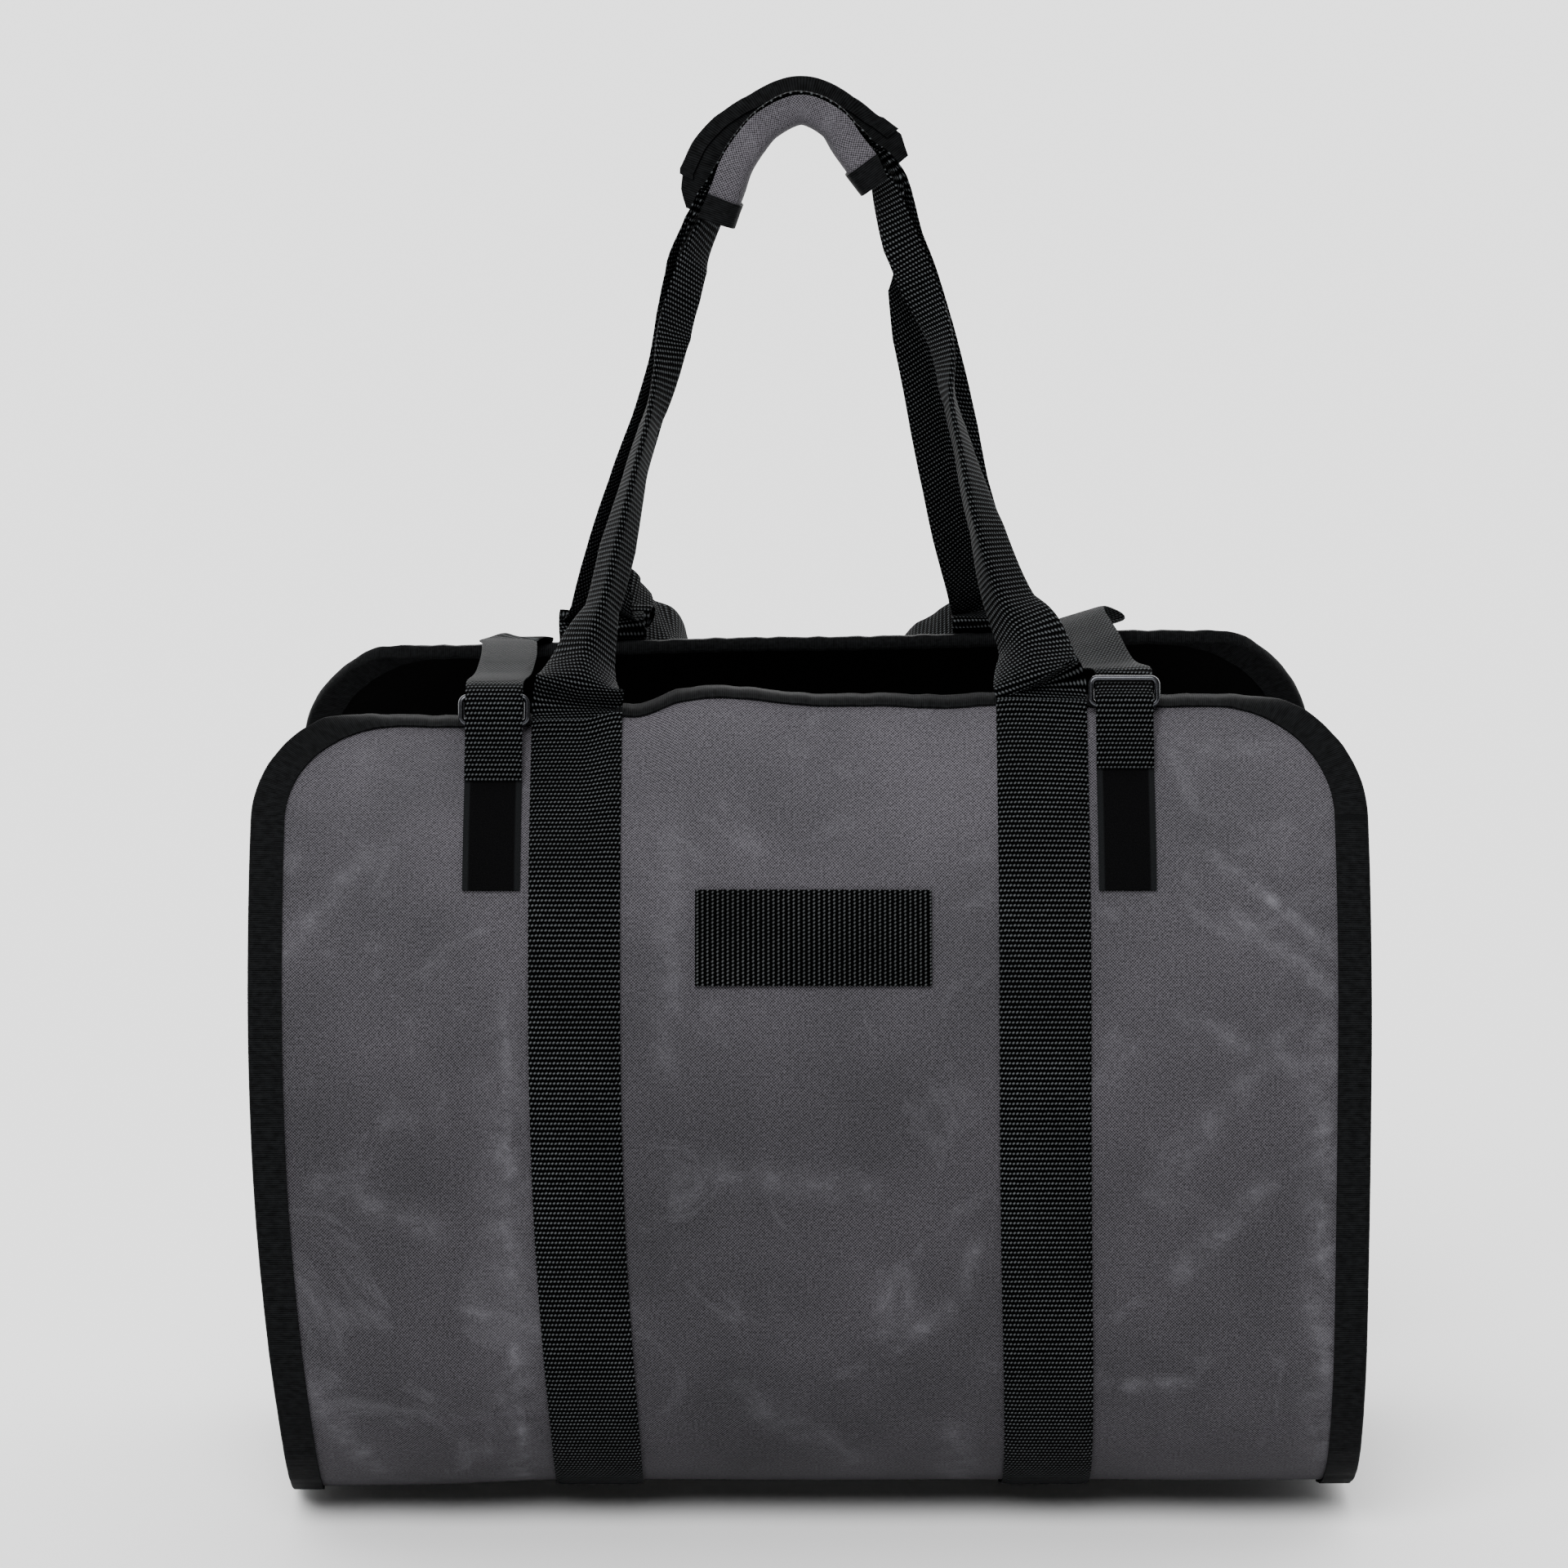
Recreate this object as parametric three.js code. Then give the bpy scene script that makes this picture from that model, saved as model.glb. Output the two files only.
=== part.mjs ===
// Canvas log carrier: a waxed canvas sheet hung as a rounded trough from two webbing handles that
// share one wrapped grip. Millimetres, +Z up, +X to the right along the trough, -Y to the front.
// The origin is the underside of the grip, where a hook or a hand holds the carrier up.
import * as THREE from 'three';

// Driving dimensions of the sheet
const sheetWidth = 462;
const wallHeight = 340;
const bellyDepth = 150;
const rearExtraHeight = 5;
const cornerRadius = 63;
const canvasThick = 1.2;
const liningThick = 1.0;
const bindingThick = 1.0;
const bindingFace = 12;

// Clearances between plies
const plyGap = 0.3;
const laidGap = 0.4;
const cornerEase = 1.5;
const bindingGap = 0.65;

// Carry webbing
const webWidth = 38;
const webThick = 1.6;
const strapSpread = 97.5;
const handleRise = 249.2;

// Wrapped grip
const gripChannel = 23.2;
const gripFloorDepth = 7;
const gripLiningThick = 1.2;
const gripCanvasThick = 1.5;
const cuffThick = 0.9;
const rimTapeWidth = 6;

// Security straps, rings and loop patches
const securityWidth = 24;
const securityThick = 1.4;
const securityLeft = -132;
const securityRight = 132;
const ringWire = 2.6;
const ringHeight = 11;
const ringSideClearance = 0.5;
const tabWidth = 22;
const tabLength = 36;
const patchWidth = 24;
const patchLength = 59;
const patchThick = 1.4;

// Webbing patch on the front
const frontPatchWidth = 98;
const frontPatchHeight = 40;
const frontPatchDrop = 96;
const frontPatchShift = 1.6;

// Half of the trough's section, from the middle of the bottom to the top edge.
// out is a share of bellyDepth, up is a share of wallHeight.
const wallSections = [
  { out: 0.0, up: 0.0 },
  { out: 0.4, up: 0.0 },
  { out: 0.77, up: 0.065 },
  { out: 0.953, up: 0.19 },
  { out: 1.0, up: 0.325 },
  { out: 1.012, up: 0.5 },
  { out: 0.985, up: 0.66 },
  { out: 0.87, up: 0.81 },
  { out: 0.733, up: 0.906 },
  { out: 0.627, up: 0.965 },
  { out: 0.553, up: 0.996 },
  { out: 0.487, up: 1.0 },
];

// Rise and fall of the top edges. across is a share of half the sheet's width, rise of wallHeight.
const frontEdgeWave = [
  { across: -1.0, rise: -0.012 },
  { across: -0.65, rise: -0.021 },
  { across: -0.42, rise: -0.018 },
  { across: -0.33, rise: -0.004 },
  { across: -0.23, rise: 0.016 },
  { across: 0.0, rise: 0.004 },
  { across: 0.17, rise: 0.008 },
  { across: 0.34, rise: 0.01 },
  { across: 0.55, rise: 0.005 },
  { across: 0.74, rise: 0.006 },
  { across: 1.0, rise: 0.0 },
];
const rearEdgeWave = [
  { across: -1.0, rise: -0.012 },
  { across: -0.78, rise: -0.008 },
  { across: 0.0, rise: 0.003 },
  { across: 0.74, rise: 0.012 },
  { across: 1.0, rise: 0.01 },
];

// Sideways shift of the rear wall's top, where the handle gathers it. shift is a share of bellyDepth.
const rearShift = [
  { across: -1.0, shift: 0.09 },
  { across: -0.5, shift: 0.043 },
  { across: -0.4, shift: 0.043 },
  { across: 0.4, shift: -0.097 },
  { across: 1.0, shift: -0.097 },
];

// Dents and bulges of the sheet. along runs from -1 at the front edge to 1 at the rear edge,
// across is a share of half the width, wide and tall are the same kinds of shares,
// and deep is a share of bellyDepth, outward when positive.
const sheetFolds = [
  { across: -0.27, along: -0.94, wide: 0.07, tall: 0.07, deep: -0.03 },
  { across: -0.1, along: -0.93, wide: 0.13, tall: 0.08, deep: 0.024 },
  { across: 0.25, along: -0.93, wide: 0.09, tall: 0.08, deep: -0.02 },
  { across: 0.83, along: -0.78, wide: 0.1, tall: 0.12, deep: 0.03 },
  { across: -0.86, along: -0.76, wide: 0.1, tall: 0.14, deep: -0.03 },
  { across: -0.7, along: -0.4, wide: 0.14, tall: 0.2, deep: 0.024 },
  { across: 0.75, along: -0.34, wide: 0.16, tall: 0.12, deep: 0.02 },
  { across: 0.0, along: -0.5, wide: 0.24, tall: 0.22, deep: 0.02 },
  { across: 0.1, along: 0.55, wide: 0.3, tall: 0.2, deep: 0.02 },
  { across: -0.75, along: 0.5, wide: 0.15, tall: 0.2, deep: -0.02 },
];

// Places of the cross rows, as shares of the run from the middle of the bottom to the corners.
const rowShares = [0, 0.145, 0.2, 0.255, 0.31, 0.36, 0.415, 0.52, 0.65, 0.78, 0.85, 0.92];

// Centre line of the folded webbing inside the grip.
// across is a share of strapSpread, up is a share of handleRise above the top edge.
// near and far are how high the pad's front and rear flaps stand, as shares of gripChannel.
const gripRows = [
  { across: -0.438, up: 0.796, near: 0.2, far: 0.45 },
  { across: -0.415, up: 0.822, near: 0.18, far: 0.66 },
  { across: -0.385, up: 0.852, near: 0.17, far: 0.76 },
  { across: -0.349, up: 0.893, near: 0.16, far: 0.7 },
  { across: -0.287, up: 0.933, near: 0.15, far: 0.58 },
  { across: -0.204, up: 0.9705, near: 0.13, far: 0.38 },
  { across: -0.031, up: 1.0, near: 0.11, far: 0.34 },
  { across: 0.132, up: 0.9705, near: 0.13, far: 0.37 },
  { across: 0.2, up: 0.931, near: 0.17, far: 0.6 },
  { across: 0.267, up: 0.895, near: 0.19, far: 0.74 },
  { across: 0.326, up: 0.865, near: 0.08, far: 0.6 },
];

// Legs of the handles between the sheet and the grip, from the sheet upwards.
// across and up as in gripRows, out is a share of half the mouth, and inner and outer are the
// directions of the two halves of the folded webbing, in degrees from the loop's inside to the rear.
const frontLegLeft = [
  { across: -0.985, up: 0.04, out: 1.04, inner: 11, outer: 168 },
  { across: -0.949, up: 0.097, out: 0.89, inner: 47, outer: 133 },
  { across: -0.888, up: 0.17, out: 0.795, inner: 66, outer: 110 },
  { across: -0.826, up: 0.269, out: 0.687, inner: 64, outer: 111 },
  { across: -0.755, up: 0.385, out: 0.554, inner: 72, outer: 102 },
  { across: -0.7, up: 0.47, out: 0.45, inner: 74, outer: 98 },
  { across: -0.679, up: 0.54, out: 0.38, inner: 57, outer: 86 },
  { across: -0.669, up: 0.615, out: 0.33, inner: 36, outer: 62 },
  { across: -0.62, up: 0.69, out: 0.24, inner: 34, outer: 50 },
  { across: -0.564, up: 0.745, out: 0.18, inner: 40, outer: 54 },
];
const frontLegRight = [
  { across: 0.98, up: 0.05, out: 1.05, inner: 6, outer: 173 },
  { across: 0.928, up: 0.11, out: 0.91, inner: 36, outer: 152 },
  { across: 0.831, up: 0.17, out: 0.795, inner: 63, outer: 134 },
  { across: 0.72, up: 0.297, out: 0.65, inner: 81, outer: 126 },
  { across: 0.655, up: 0.42, out: 0.51, inner: 83, outer: 108 },
  { across: 0.62, up: 0.505, out: 0.41, inner: 82, outer: 98 },
  { across: 0.636, up: 0.57, out: 0.36, inner: 64, outer: 88 },
  { across: 0.62, up: 0.63, out: 0.31, inner: 50, outer: 72 },
  { across: 0.554, up: 0.715, out: 0.22, inner: 22, outer: 40 },
  { across: 0.49, up: 0.775, out: 0.15, inner: 22, outer: 38 },
];
const rearLegLeft = [
  { across: -0.94, up: 0.045, out: 1.08, inner: -8, outer: -160 },
  { across: -0.926, up: 0.1, out: 0.92, inner: -42, outer: -132 },
  { across: -0.88, up: 0.2, out: 0.76, inner: -60, outer: -122 },
  { across: -0.795, up: 0.33, out: 0.61, inner: -66, outer: -114 },
  { across: -0.7, up: 0.45, out: 0.47, inner: -70, outer: -110 },
  { across: -0.635, up: 0.55, out: 0.37, inner: -70, outer: -108 },
  { across: -0.588, up: 0.64, out: 0.29, inner: -80, outer: -110 },
  { across: -0.535, up: 0.71, out: 0.215, inner: -96, outer: -112 },
];
const rearLegRight = [
  { across: 0.845, up: 0.055, out: 1.12, inner: -6, outer: -172 },
  { across: 0.79, up: 0.12, out: 0.98, inner: -25, outer: -152 },
  { across: 0.723, up: 0.2, out: 0.8, inner: -36, outer: -146 },
  { across: 0.651, up: 0.32, out: 0.63, inner: -40, outer: -138 },
  { across: 0.598, up: 0.42, out: 0.52, inner: -41, outer: -140 },
  { across: 0.556, up: 0.5, out: 0.43, inner: -43, outer: -138 },
  { across: 0.497, up: 0.6, out: 0.34, inner: -46, outer: -135 },
  { across: 0.44, up: 0.69, out: 0.27, inner: -58, outer: -130 },
  { across: 0.385, up: 0.76, out: 0.21, inner: -92, outer: -126 },
];

// Rear sling from the left handle's root to the right one's, in the same shares.
// up is a share of wallHeight above the rear edge, turn is the webbing's turn about its own line.
const slingRows = [
  { across: -0.93, up: -0.008, out: 0.66, turn: -4 },
  { across: -0.905, up: 0.025, out: 0.675, turn: -30 },
  { across: -0.86, up: 0.042, out: 0.74, turn: -50 },
  { across: -0.78, up: 0.022, out: 0.785, turn: -58 },
  { across: -0.7, up: 0.004, out: 0.82, turn: -64 },
  { across: -0.62, up: -0.012, out: 0.86, turn: -72 },
  { across: -0.57, up: -0.045, out: 0.9, turn: -82 },
  { across: -0.545, up: -0.12, out: 0.95, turn: -90 },
  { across: -0.5, up: -0.21, out: 1.1, turn: -90 },
  { across: -0.4, up: -0.29, out: 1.175, turn: -90 },
  { across: -0.2, up: -0.33, out: 1.195, turn: -90 },
  { across: 0.0, up: -0.34, out: 1.2, turn: -90 },
  { across: 0.16, up: -0.33, out: 1.195, turn: -90 },
  { across: 0.3, up: -0.29, out: 1.175, turn: -90 },
  { across: 0.36, up: -0.21, out: 1.1, turn: -90 },
  { across: 0.385, up: -0.135, out: 0.96, turn: -90 },
  { across: 0.415, up: -0.065, out: 0.89, turn: -82 },
  { across: 0.5, up: -0.028, out: 0.84, turn: -71 },
  { across: 0.6, up: -0.012, out: 0.815, turn: -63 },
  { across: 0.7, up: 0.002, out: 0.79, turn: -56 },
  { across: 0.78, up: 0.012, out: 0.755, turn: -44 },
  { across: 0.83, up: 0.012, out: 0.685, turn: -26 },
  { across: 0.852, up: -0.004, out: 0.665, turn: -4 },
];

// Free stretch of the security straps over the mouth, from the rear edge to the front one.
// out is a share of bellyDepth, rise is a share of wallHeight above the top edge.
const securityOverLeft = [
  { across: -1.0, out: 0.47, rise: 0.02, turn: 0 },
  { across: -0.99, out: 0.28, rise: 0.027, turn: 0 },
  { across: -0.98, out: 0.0, rise: 0.028, turn: 0 },
  { across: -0.985, out: -0.3, rise: 0.024, turn: 0 },
];
const securityOverRight = [
  { across: 0.97, out: 0.47, rise: 0.043, turn: 8 },
  { across: 0.905, out: 0.33, rise: 0.062, turn: 16 },
  { across: 0.89, out: 0.17, rise: 0.066, turn: 20 },
  { across: 0.92, out: -0.1, rise: 0.055, turn: 14 },
  { across: 0.955, out: -0.35, rise: 0.04, turn: 6 },
];

// Colours and finishes
const canvasGrey = new THREE.MeshStandardMaterial({ color: 0x6a6a70, roughness: 0.9, metalness: 0 });
const liningBlack = new THREE.MeshStandardMaterial({ color: 0x141414, roughness: 0.8, metalness: 0 });
const tapeBlack = new THREE.MeshStandardMaterial({ color: 0x1d1e20, roughness: 0.85, metalness: 0 });
const webbingBlack = new THREE.MeshStandardMaterial({ color: 0x2a2b2d, roughness: 0.75, metalness: 0 });
const loopBlack = new THREE.MeshStandardMaterial({ color: 0x1b1b1d, roughness: 1, metalness: 0 });
const ringSteel = new THREE.MeshStandardMaterial({ color: 0x303236, roughness: 0.35, metalness: 1 });

const degree = Math.PI / 180;
const plyStack = canvasThick + plyGap + liningThick;
const halfWidth = sheetWidth / 2;
const overBinding = bindingGap + bindingThick + plyGap;
const strapInnerEdge = strapSpread - webWidth / 2;
const strapOuterEdge = strapSpread + webWidth / 2;
const steadyHalfWidth = Math.max(-securityLeft, securityRight) + securityWidth / 2 + 1;

function smooth(t) {
  const c = Math.min(1, Math.max(0, t));
  return c * c * (3 - 2 * c);
}

// Value of a named column between the rows of a table, eased from row to row.
function readTable(rows, key, column, at) {
  const last = rows.length - 1;
  if (at <= rows[0][key]) return rows[0][column];
  if (at >= rows[last][key]) return rows[last][column];
  const k = rows.findIndex((row) => row[key] > at);
  const share = (at - rows[k - 1][key]) / (rows[k][key] - rows[k - 1][key]);
  return THREE.MathUtils.lerp(rows[k - 1][column], rows[k][column], smooth(share));
}

// The trough's section, from the front edge down, under and up to the rear edge.
const frontSide = wallSections.map((row) => new THREE.Vector3(0, -row.out * bellyDepth, row.up * wallHeight));
const rearRows = wallSections.slice(1);
const rearSide = rearRows.map((row) => new THREE.Vector3(0, row.out * bellyDepth, row.up * wallHeight));
const section = new THREE.CatmullRomCurve3([...frontSide.reverse(), ...rearSide], false, 'centripetal');
section.arcLengthDivisions = 1200;
const halfLength = section.getLength() / 2;
const mouthHalf = wallSections[wallSections.length - 2].out * bellyDepth;

function edgeRise(x, s) {
  const near = smooth(1 - (halfLength - Math.abs(s)) / (1.6 * cornerRadius));
  const table = s < 0 ? frontEdgeWave : rearEdgeWave;
  const lift = s < 0 ? 0 : rearExtraHeight * smooth(s / halfLength);
  return lift + near * wallHeight * readTable(table, 'across', 'rise', x / halfWidth);
}

function foldDepth(x, s) {
  let sum = 0;
  for (const fold of sheetFolds) {
    const a = (x / halfWidth - fold.across) / fold.wide;
    const b = (s / halfLength - fold.along) / fold.tall;
    sum += fold.deep * bellyDepth * Math.exp(-(a * a + b * b));
  }
  return sum;
}

// How much the front's lower end is drawn sideways: fully at its left corner, not at its right one.
function lowerDraw(s) {
  const b = (s / halfLength + 0.22) / 0.24;
  return Math.exp(-b * b);
}

// Point of the sheet: x across, s along the section from the middle of the bottom, off outwards.
function cloth(x, s, off) {
  const inside = Math.min(halfLength, Math.max(-halfLength, s));
  const share = (inside + halfLength) / (2 * halfLength);
  const point = section.getPointAt(share);
  const along = section.getTangentAt(share);
  const push = off + foldDepth(x, inside);
  const past = s - inside;
  const across = x / halfWidth;
  const lower = lowerDraw(inside);
  const rear = smooth((inside / halfLength - 0.72) / 0.28) * readTable(rearShift, 'across', 'shift', across);
  const corner = smooth((-across - 0.5) / 0.5) * lower;
  return new THREE.Vector3(
    x + (lower * 0.04 * (1 - across) + rear) * bellyDepth,
    point.y + along.y * past + along.z * push,
    Math.max(0, point.z) + along.z * past - along.y * push + edgeRise(x, inside) - corner * 0.02 * bellyDepth,
  );
}

// Cross rows of the sheet, close together round the rounded corners.
const bindingAngle = Math.acos(1 - bindingFace / cornerRadius);
const cornerAngles = [0, 0.62 * bindingAngle, bindingAngle];
for (const share of [1 / 3, 2 / 3, 1]) {
  cornerAngles.push(THREE.MathUtils.lerp(bindingAngle, Math.PI / 2, share));
}
const cornerDrops = cornerAngles.map((angle) => cornerRadius * (1 - Math.cos(angle)));
const upperRows = rowShares.map((share) => share * (halfLength - cornerRadius));
for (const drop of [...cornerDrops].reverse()) {
  upperRows.push(halfLength - drop);
}
const sheetRows = [...upperRows.slice(1).map((s) => -s).reverse(), ...upperRows];

// Lengthwise columns of the sheet, on the edges of the webbing.
const rightColumns = [
  strapInnerEdge / 3,
  (2 * strapInnerEdge) / 3,
  strapInnerEdge,
  strapOuterEdge,
  steadyHalfWidth,
  steadyHalfWidth + (halfWidth - steadyHalfWidth) * 0.36,
  steadyHalfWidth + (halfWidth - steadyHalfWidth) * 0.7,
  halfWidth,
];
const sheetColumns = [...rightColumns.map((x) => -x).reverse(), 0, ...rightColumns];

function halfWidthAt(s) {
  const drop = halfLength - Math.abs(s);
  if (drop >= cornerRadius) return halfWidth;
  const back = cornerRadius - drop;
  return halfWidth - cornerRadius + Math.sqrt(Math.max(0, cornerRadius * cornerRadius - back * back));
}

// Outside the straps the columns close in to follow the rounded corners.
function spreadColumn(x, s) {
  if (Math.abs(x) <= steadyHalfWidth) return x;
  const share = (Math.abs(x) - steadyHalfWidth) / (halfWidth - steadyHalfWidth);
  return Math.sign(x) * (steadyHalfWidth + share * (halfWidthAt(s) - steadyHalfWidth));
}

function bracket(list, value) {
  let k = 1;
  while (k < list.length - 1 && list[k] < value) k += 1;
  return { k, share: (value - list[k - 1]) / (list[k] - list[k - 1]) };
}

// Point on the flat facets of the canvas, so that what lies on it follows them.
function onCanvas(x, s, off) {
  const row = bracket(sheetRows, s);
  const low = sheetRows[row.k - 1];
  const high = sheetRows[row.k];
  const place = (c) => THREE.MathUtils.lerp(spreadColumn(c, low), spreadColumn(c, high), row.share);
  const column = bracket(sheetColumns.map(place), x);
  const node = (k, r) => cloth(spreadColumn(sheetColumns[k], r), r, off);
  const start = node(column.k - 1, low);
  const end = node(column.k, high);
  if (row.share >= column.share) {
    const corner = node(column.k - 1, high);
    return start.lerp(corner, row.share).addScaledVector(end.sub(corner), column.share);
  }
  const corner = node(column.k, low);
  return start.lerp(corner, column.share).addScaledVector(end.sub(corner), row.share);
}

// Closed solid between two grids of points: rows of equal length, front on the outside.
// A looped solid joins its last row to its first, and its faces split along their outer diagonals.
function sheetSolid(front, back, looped = false) {
  const rows = front.length;
  const columns = front[0].length;
  const positions = [];
  const index = [];
  for (const grid of [front, back]) {
    for (const row of grid) {
      for (const p of row) positions.push(p.x, p.y, p.z);
    }
  }
  const at = (j, i) => (j % rows) * columns + i;
  const behind = rows * columns;
  const spot = (k) => new THREE.Vector3().fromArray(positions, 3 * k);
  const ridged = (a, b, c, d) => {
    const normal = spot(b).sub(spot(a)).cross(spot(c).sub(spot(a)));
    return normal.dot(spot(d).sub(spot(a))) <= 0;
  };
  const quad = (a, b, c, d, along = true) => {
    if (along) index.push(a, b, c, a, c, d);
    else index.push(b, c, d, b, d, a);
  };
  const steps = looped ? rows : rows - 1;
  for (let j = 0; j < steps; j += 1) {
    for (let i = 0; i < columns - 1; i += 1) {
      const [a, b, c, d] = [at(j, i), at(j + 1, i), at(j + 1, i + 1), at(j, i + 1)];
      const along = !looped || ridged(a, b, c, d);
      quad(a, b, c, d, along);
      quad(behind + c, behind + b, behind + a, behind + d, along);
    }
    quad(at(j, 0), behind + at(j, 0), behind + at(j + 1, 0), at(j + 1, 0));
    const last = columns - 1;
    quad(at(j + 1, last), behind + at(j + 1, last), behind + at(j, last), at(j, last));
  }
  if (!looped) {
    for (let i = 0; i < columns - 1; i += 1) {
      quad(at(0, i), at(0, i + 1), behind + at(0, i + 1), behind + at(0, i));
      quad(at(steps, i + 1), at(steps, i), behind + at(steps, i), behind + at(steps, i + 1));
    }
  }
  const geometry = new THREE.BufferGeometry();
  geometry.setAttribute('position', new THREE.Float32BufferAttribute(positions, 3));
  geometry.setIndex(index);
  geometry.computeVertexNormals();
  return geometry;
}

// One ply of the body between two distances from the sheet's outer face, inset from its outline.
function bodyPly(outerOff, innerOff) {
  const layer = (off) => sheetRows.map((s) => sheetColumns.map((x) => cloth(spreadColumn(x, s), s, off)));
  return sheetSolid(layer(outerOff), layer(innerOff));
}

// Something flat that lies on the canvas, over the given columns and rows.
function laidPiece(columns, rows, offAt, thick) {
  const layer = (extra) => rows.map((s) => columns.map((x) => onCanvas(x, s, offAt(s) + extra)));
  return sheetSolid(layer(thick), layer(0));
}

// Straps step up over the binding close to the top edges.
function liftOverBinding(s) {
  const drop = halfLength - Math.abs(s);
  return THREE.MathUtils.lerp(overBinding, laidGap, smooth((drop - bindingFace) / bindingFace));
}

// Outline of the sheet as places with their inward direction, once round.
function outlinePlaces() {
  const places = [];
  const sideRows = sheetRows.filter((s) => Math.abs(s) < halfLength - cornerRadius - 1);
  const endColumns = sheetColumns.filter((x) => Math.abs(x) < halfWidth - cornerRadius - 1);
  const corner = (signX, signS, angles) => {
    for (const angle of angles) {
      const outX = signX * Math.sin(angle);
      const outS = signS * Math.cos(angle);
      places.push({
        x: signX * (halfWidth - cornerRadius) + cornerRadius * outX,
        s: signS * (halfLength - cornerRadius) + cornerRadius * outS,
        inX: -outX,
        inS: -outS,
        ease: cornerEase * Math.sqrt(Math.max(0, Math.sin(2 * angle))),
      });
    }
  };
  const opened = [...cornerAngles].reverse();
  for (const s of sideRows) places.push({ x: halfWidth, s, inX: -1, inS: 0, ease: 0 });
  corner(1, 1, opened);
  for (const x of [...endColumns].reverse()) places.push({ x, s: halfLength, inX: 0, inS: -1, ease: 0 });
  corner(-1, 1, cornerAngles);
  for (const s of [...sideRows].reverse()) places.push({ x: -halfWidth, s, inX: 1, inS: 0, ease: 0 });
  corner(-1, -1, opened);
  for (const x of endColumns) places.push({ x, s: -halfLength, inX: 0, inS: 1, ease: 0 });
  corner(1, -1, cornerAngles);
  return places;
}

// Tape folded over the sheet's edge: down the outside, round the edge and back inside.
function bindingSolid() {
  const bend = cornerDrops[1];
  const outerFace = bindingGap + bindingThick;
  const innerFace = plyStack + laidGap + bindingThick;
  const ring = (place, edgeOut, outFace, inFace) => {
    const outOff = outFace + place.ease;
    const inOff = inFace + 0.3 * place.ease;
    const steps = [
      [bindingFace, outOff],
      [bend, outOff],
      [-edgeOut, outOff],
      [-edgeOut, -inOff],
      [bend, -inOff],
      [bindingFace, -inOff],
    ];
    return steps.map(([inset, off]) => onCanvas(place.x + place.inX * inset, place.s + place.inS * inset, off));
  };
  const places = outlinePlaces();
  const front = places.map((place) => ring(place, laidGap + bindingThick, outerFace, innerFace));
  const back = places.map((place) => ring(place, laidGap, outerFace - bindingThick, innerFace - bindingThick));
  return sheetSolid(front, back, true);
}

// Frame of a handle at one place: back points to the rear, inside to the inside of the loop.
function strapFrame(tangent) {
  const back = new THREE.Vector3(0, 1, 0).addScaledVector(tangent, -tangent.y).normalize();
  const inside = new THREE.Vector3().crossVectors(back, tangent).normalize();
  return { back, inside };
}

// Frame of a strap that runs from rear to front: inside points to the right.
function crossFrame(tangent) {
  const inside = new THREE.Vector3(1, 0, 0).addScaledVector(tangent, -tangent.x).normalize();
  const back = new THREE.Vector3().crossVectors(tangent, inside).normalize();
  return { back, inside };
}

// Cross-section of webbing folded along its middle, as three points on each face.
function foldedSection(spine, frame, innerAngle, outerAngle, half, thick) {
  const { back, inside } = frame;
  const ray = (angle) => inside.clone().multiplyScalar(Math.cos(angle)).addScaledVector(back, Math.sin(angle));
  const inner = ray(innerAngle * degree);
  const outer = ray(outerAngle * degree);
  const innerFace = ray((innerAngle - 90) * degree);
  const outerFace = ray((outerAngle + 90) * degree);
  const middle = innerFace.clone().add(outerFace);
  const reach = 1 / (1 + innerFace.dot(outerFace));
  const mitre = middle.length() * reach;
  middle.normalize();
  const pointsBack = inner.clone().add(outer).dot(back) > 0;
  const ridge = Math.min(mitre, 1.3);
  const frontReach = pointsBack ? ridge : mitre;
  const backReach = pointsBack ? mitre : ridge;
  const innerEdge = spine.clone().addScaledVector(inner, half);
  const outerEdge = spine.clone().addScaledVector(outer, half);
  const h = thick / 2;
  return {
    front: [
      innerEdge.clone().addScaledVector(innerFace, h),
      spine.clone().addScaledVector(middle, h * frontReach),
      outerEdge.clone().addScaledVector(outerFace, h),
    ],
    back: [
      innerEdge.clone().addScaledVector(innerFace, -h),
      spine.clone().addScaledVector(middle, -h * backReach),
      outerEdge.clone().addScaledVector(outerFace, -h),
    ],
  };
}

// Places along a smooth line through stations: each station, and more where they lie far apart.
function linePlaces(stations, spacing) {
  const line = new THREE.CatmullRomCurve3(stations.map((row) => row.point), false, 'centripetal');
  const places = [];
  const last = stations.length - 1;
  for (let k = 0; k <= last; k += 1) {
    const span = k < last ? stations[k].point.distanceTo(stations[k + 1].point) : 0;
    const steps = Math.max(1, Math.round(span / spacing));
    for (let i = 0; i < (k < last ? steps : 1); i += 1) {
      const t = (k + i / steps) / last;
      const mix = (key) => THREE.MathUtils.lerp(stations[k][key], stations[Math.min(last, k + 1)][key], i / steps);
      places.push({ point: line.getPoint(t), tangent: line.getTangent(t), mix });
    }
  }
  return places;
}

// Folded webbing carried through stations of point, inner and outer.
function foldedStrap(stations, spacing, width, thick) {
  const cuts = linePlaces(stations, spacing).map((place) => {
    const frame = strapFrame(place.tangent);
    return foldedSection(place.point, frame, place.mix('inner'), place.mix('outer'), width / 2, thick);
  });
  return sheetSolid(cuts.map((cut) => cut.front), cuts.map((cut) => cut.back));
}

// Flat webbing carried along a line: only its two edges are kept of each section.
function flatStrap(stations, spacing, width, thick, frameOf) {
  const cuts = linePlaces(stations, spacing).map((place) => {
    const turn = place.mix('turn');
    return foldedSection(place.point, frameOf(place.tangent), turn, turn + 180, width / 2, thick);
  });
  const edges = (face) => cuts.map((cut) => [cut[face][0], cut[face][2]]);
  return sheetSolid(edges('front'), edges('back'));
}

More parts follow.
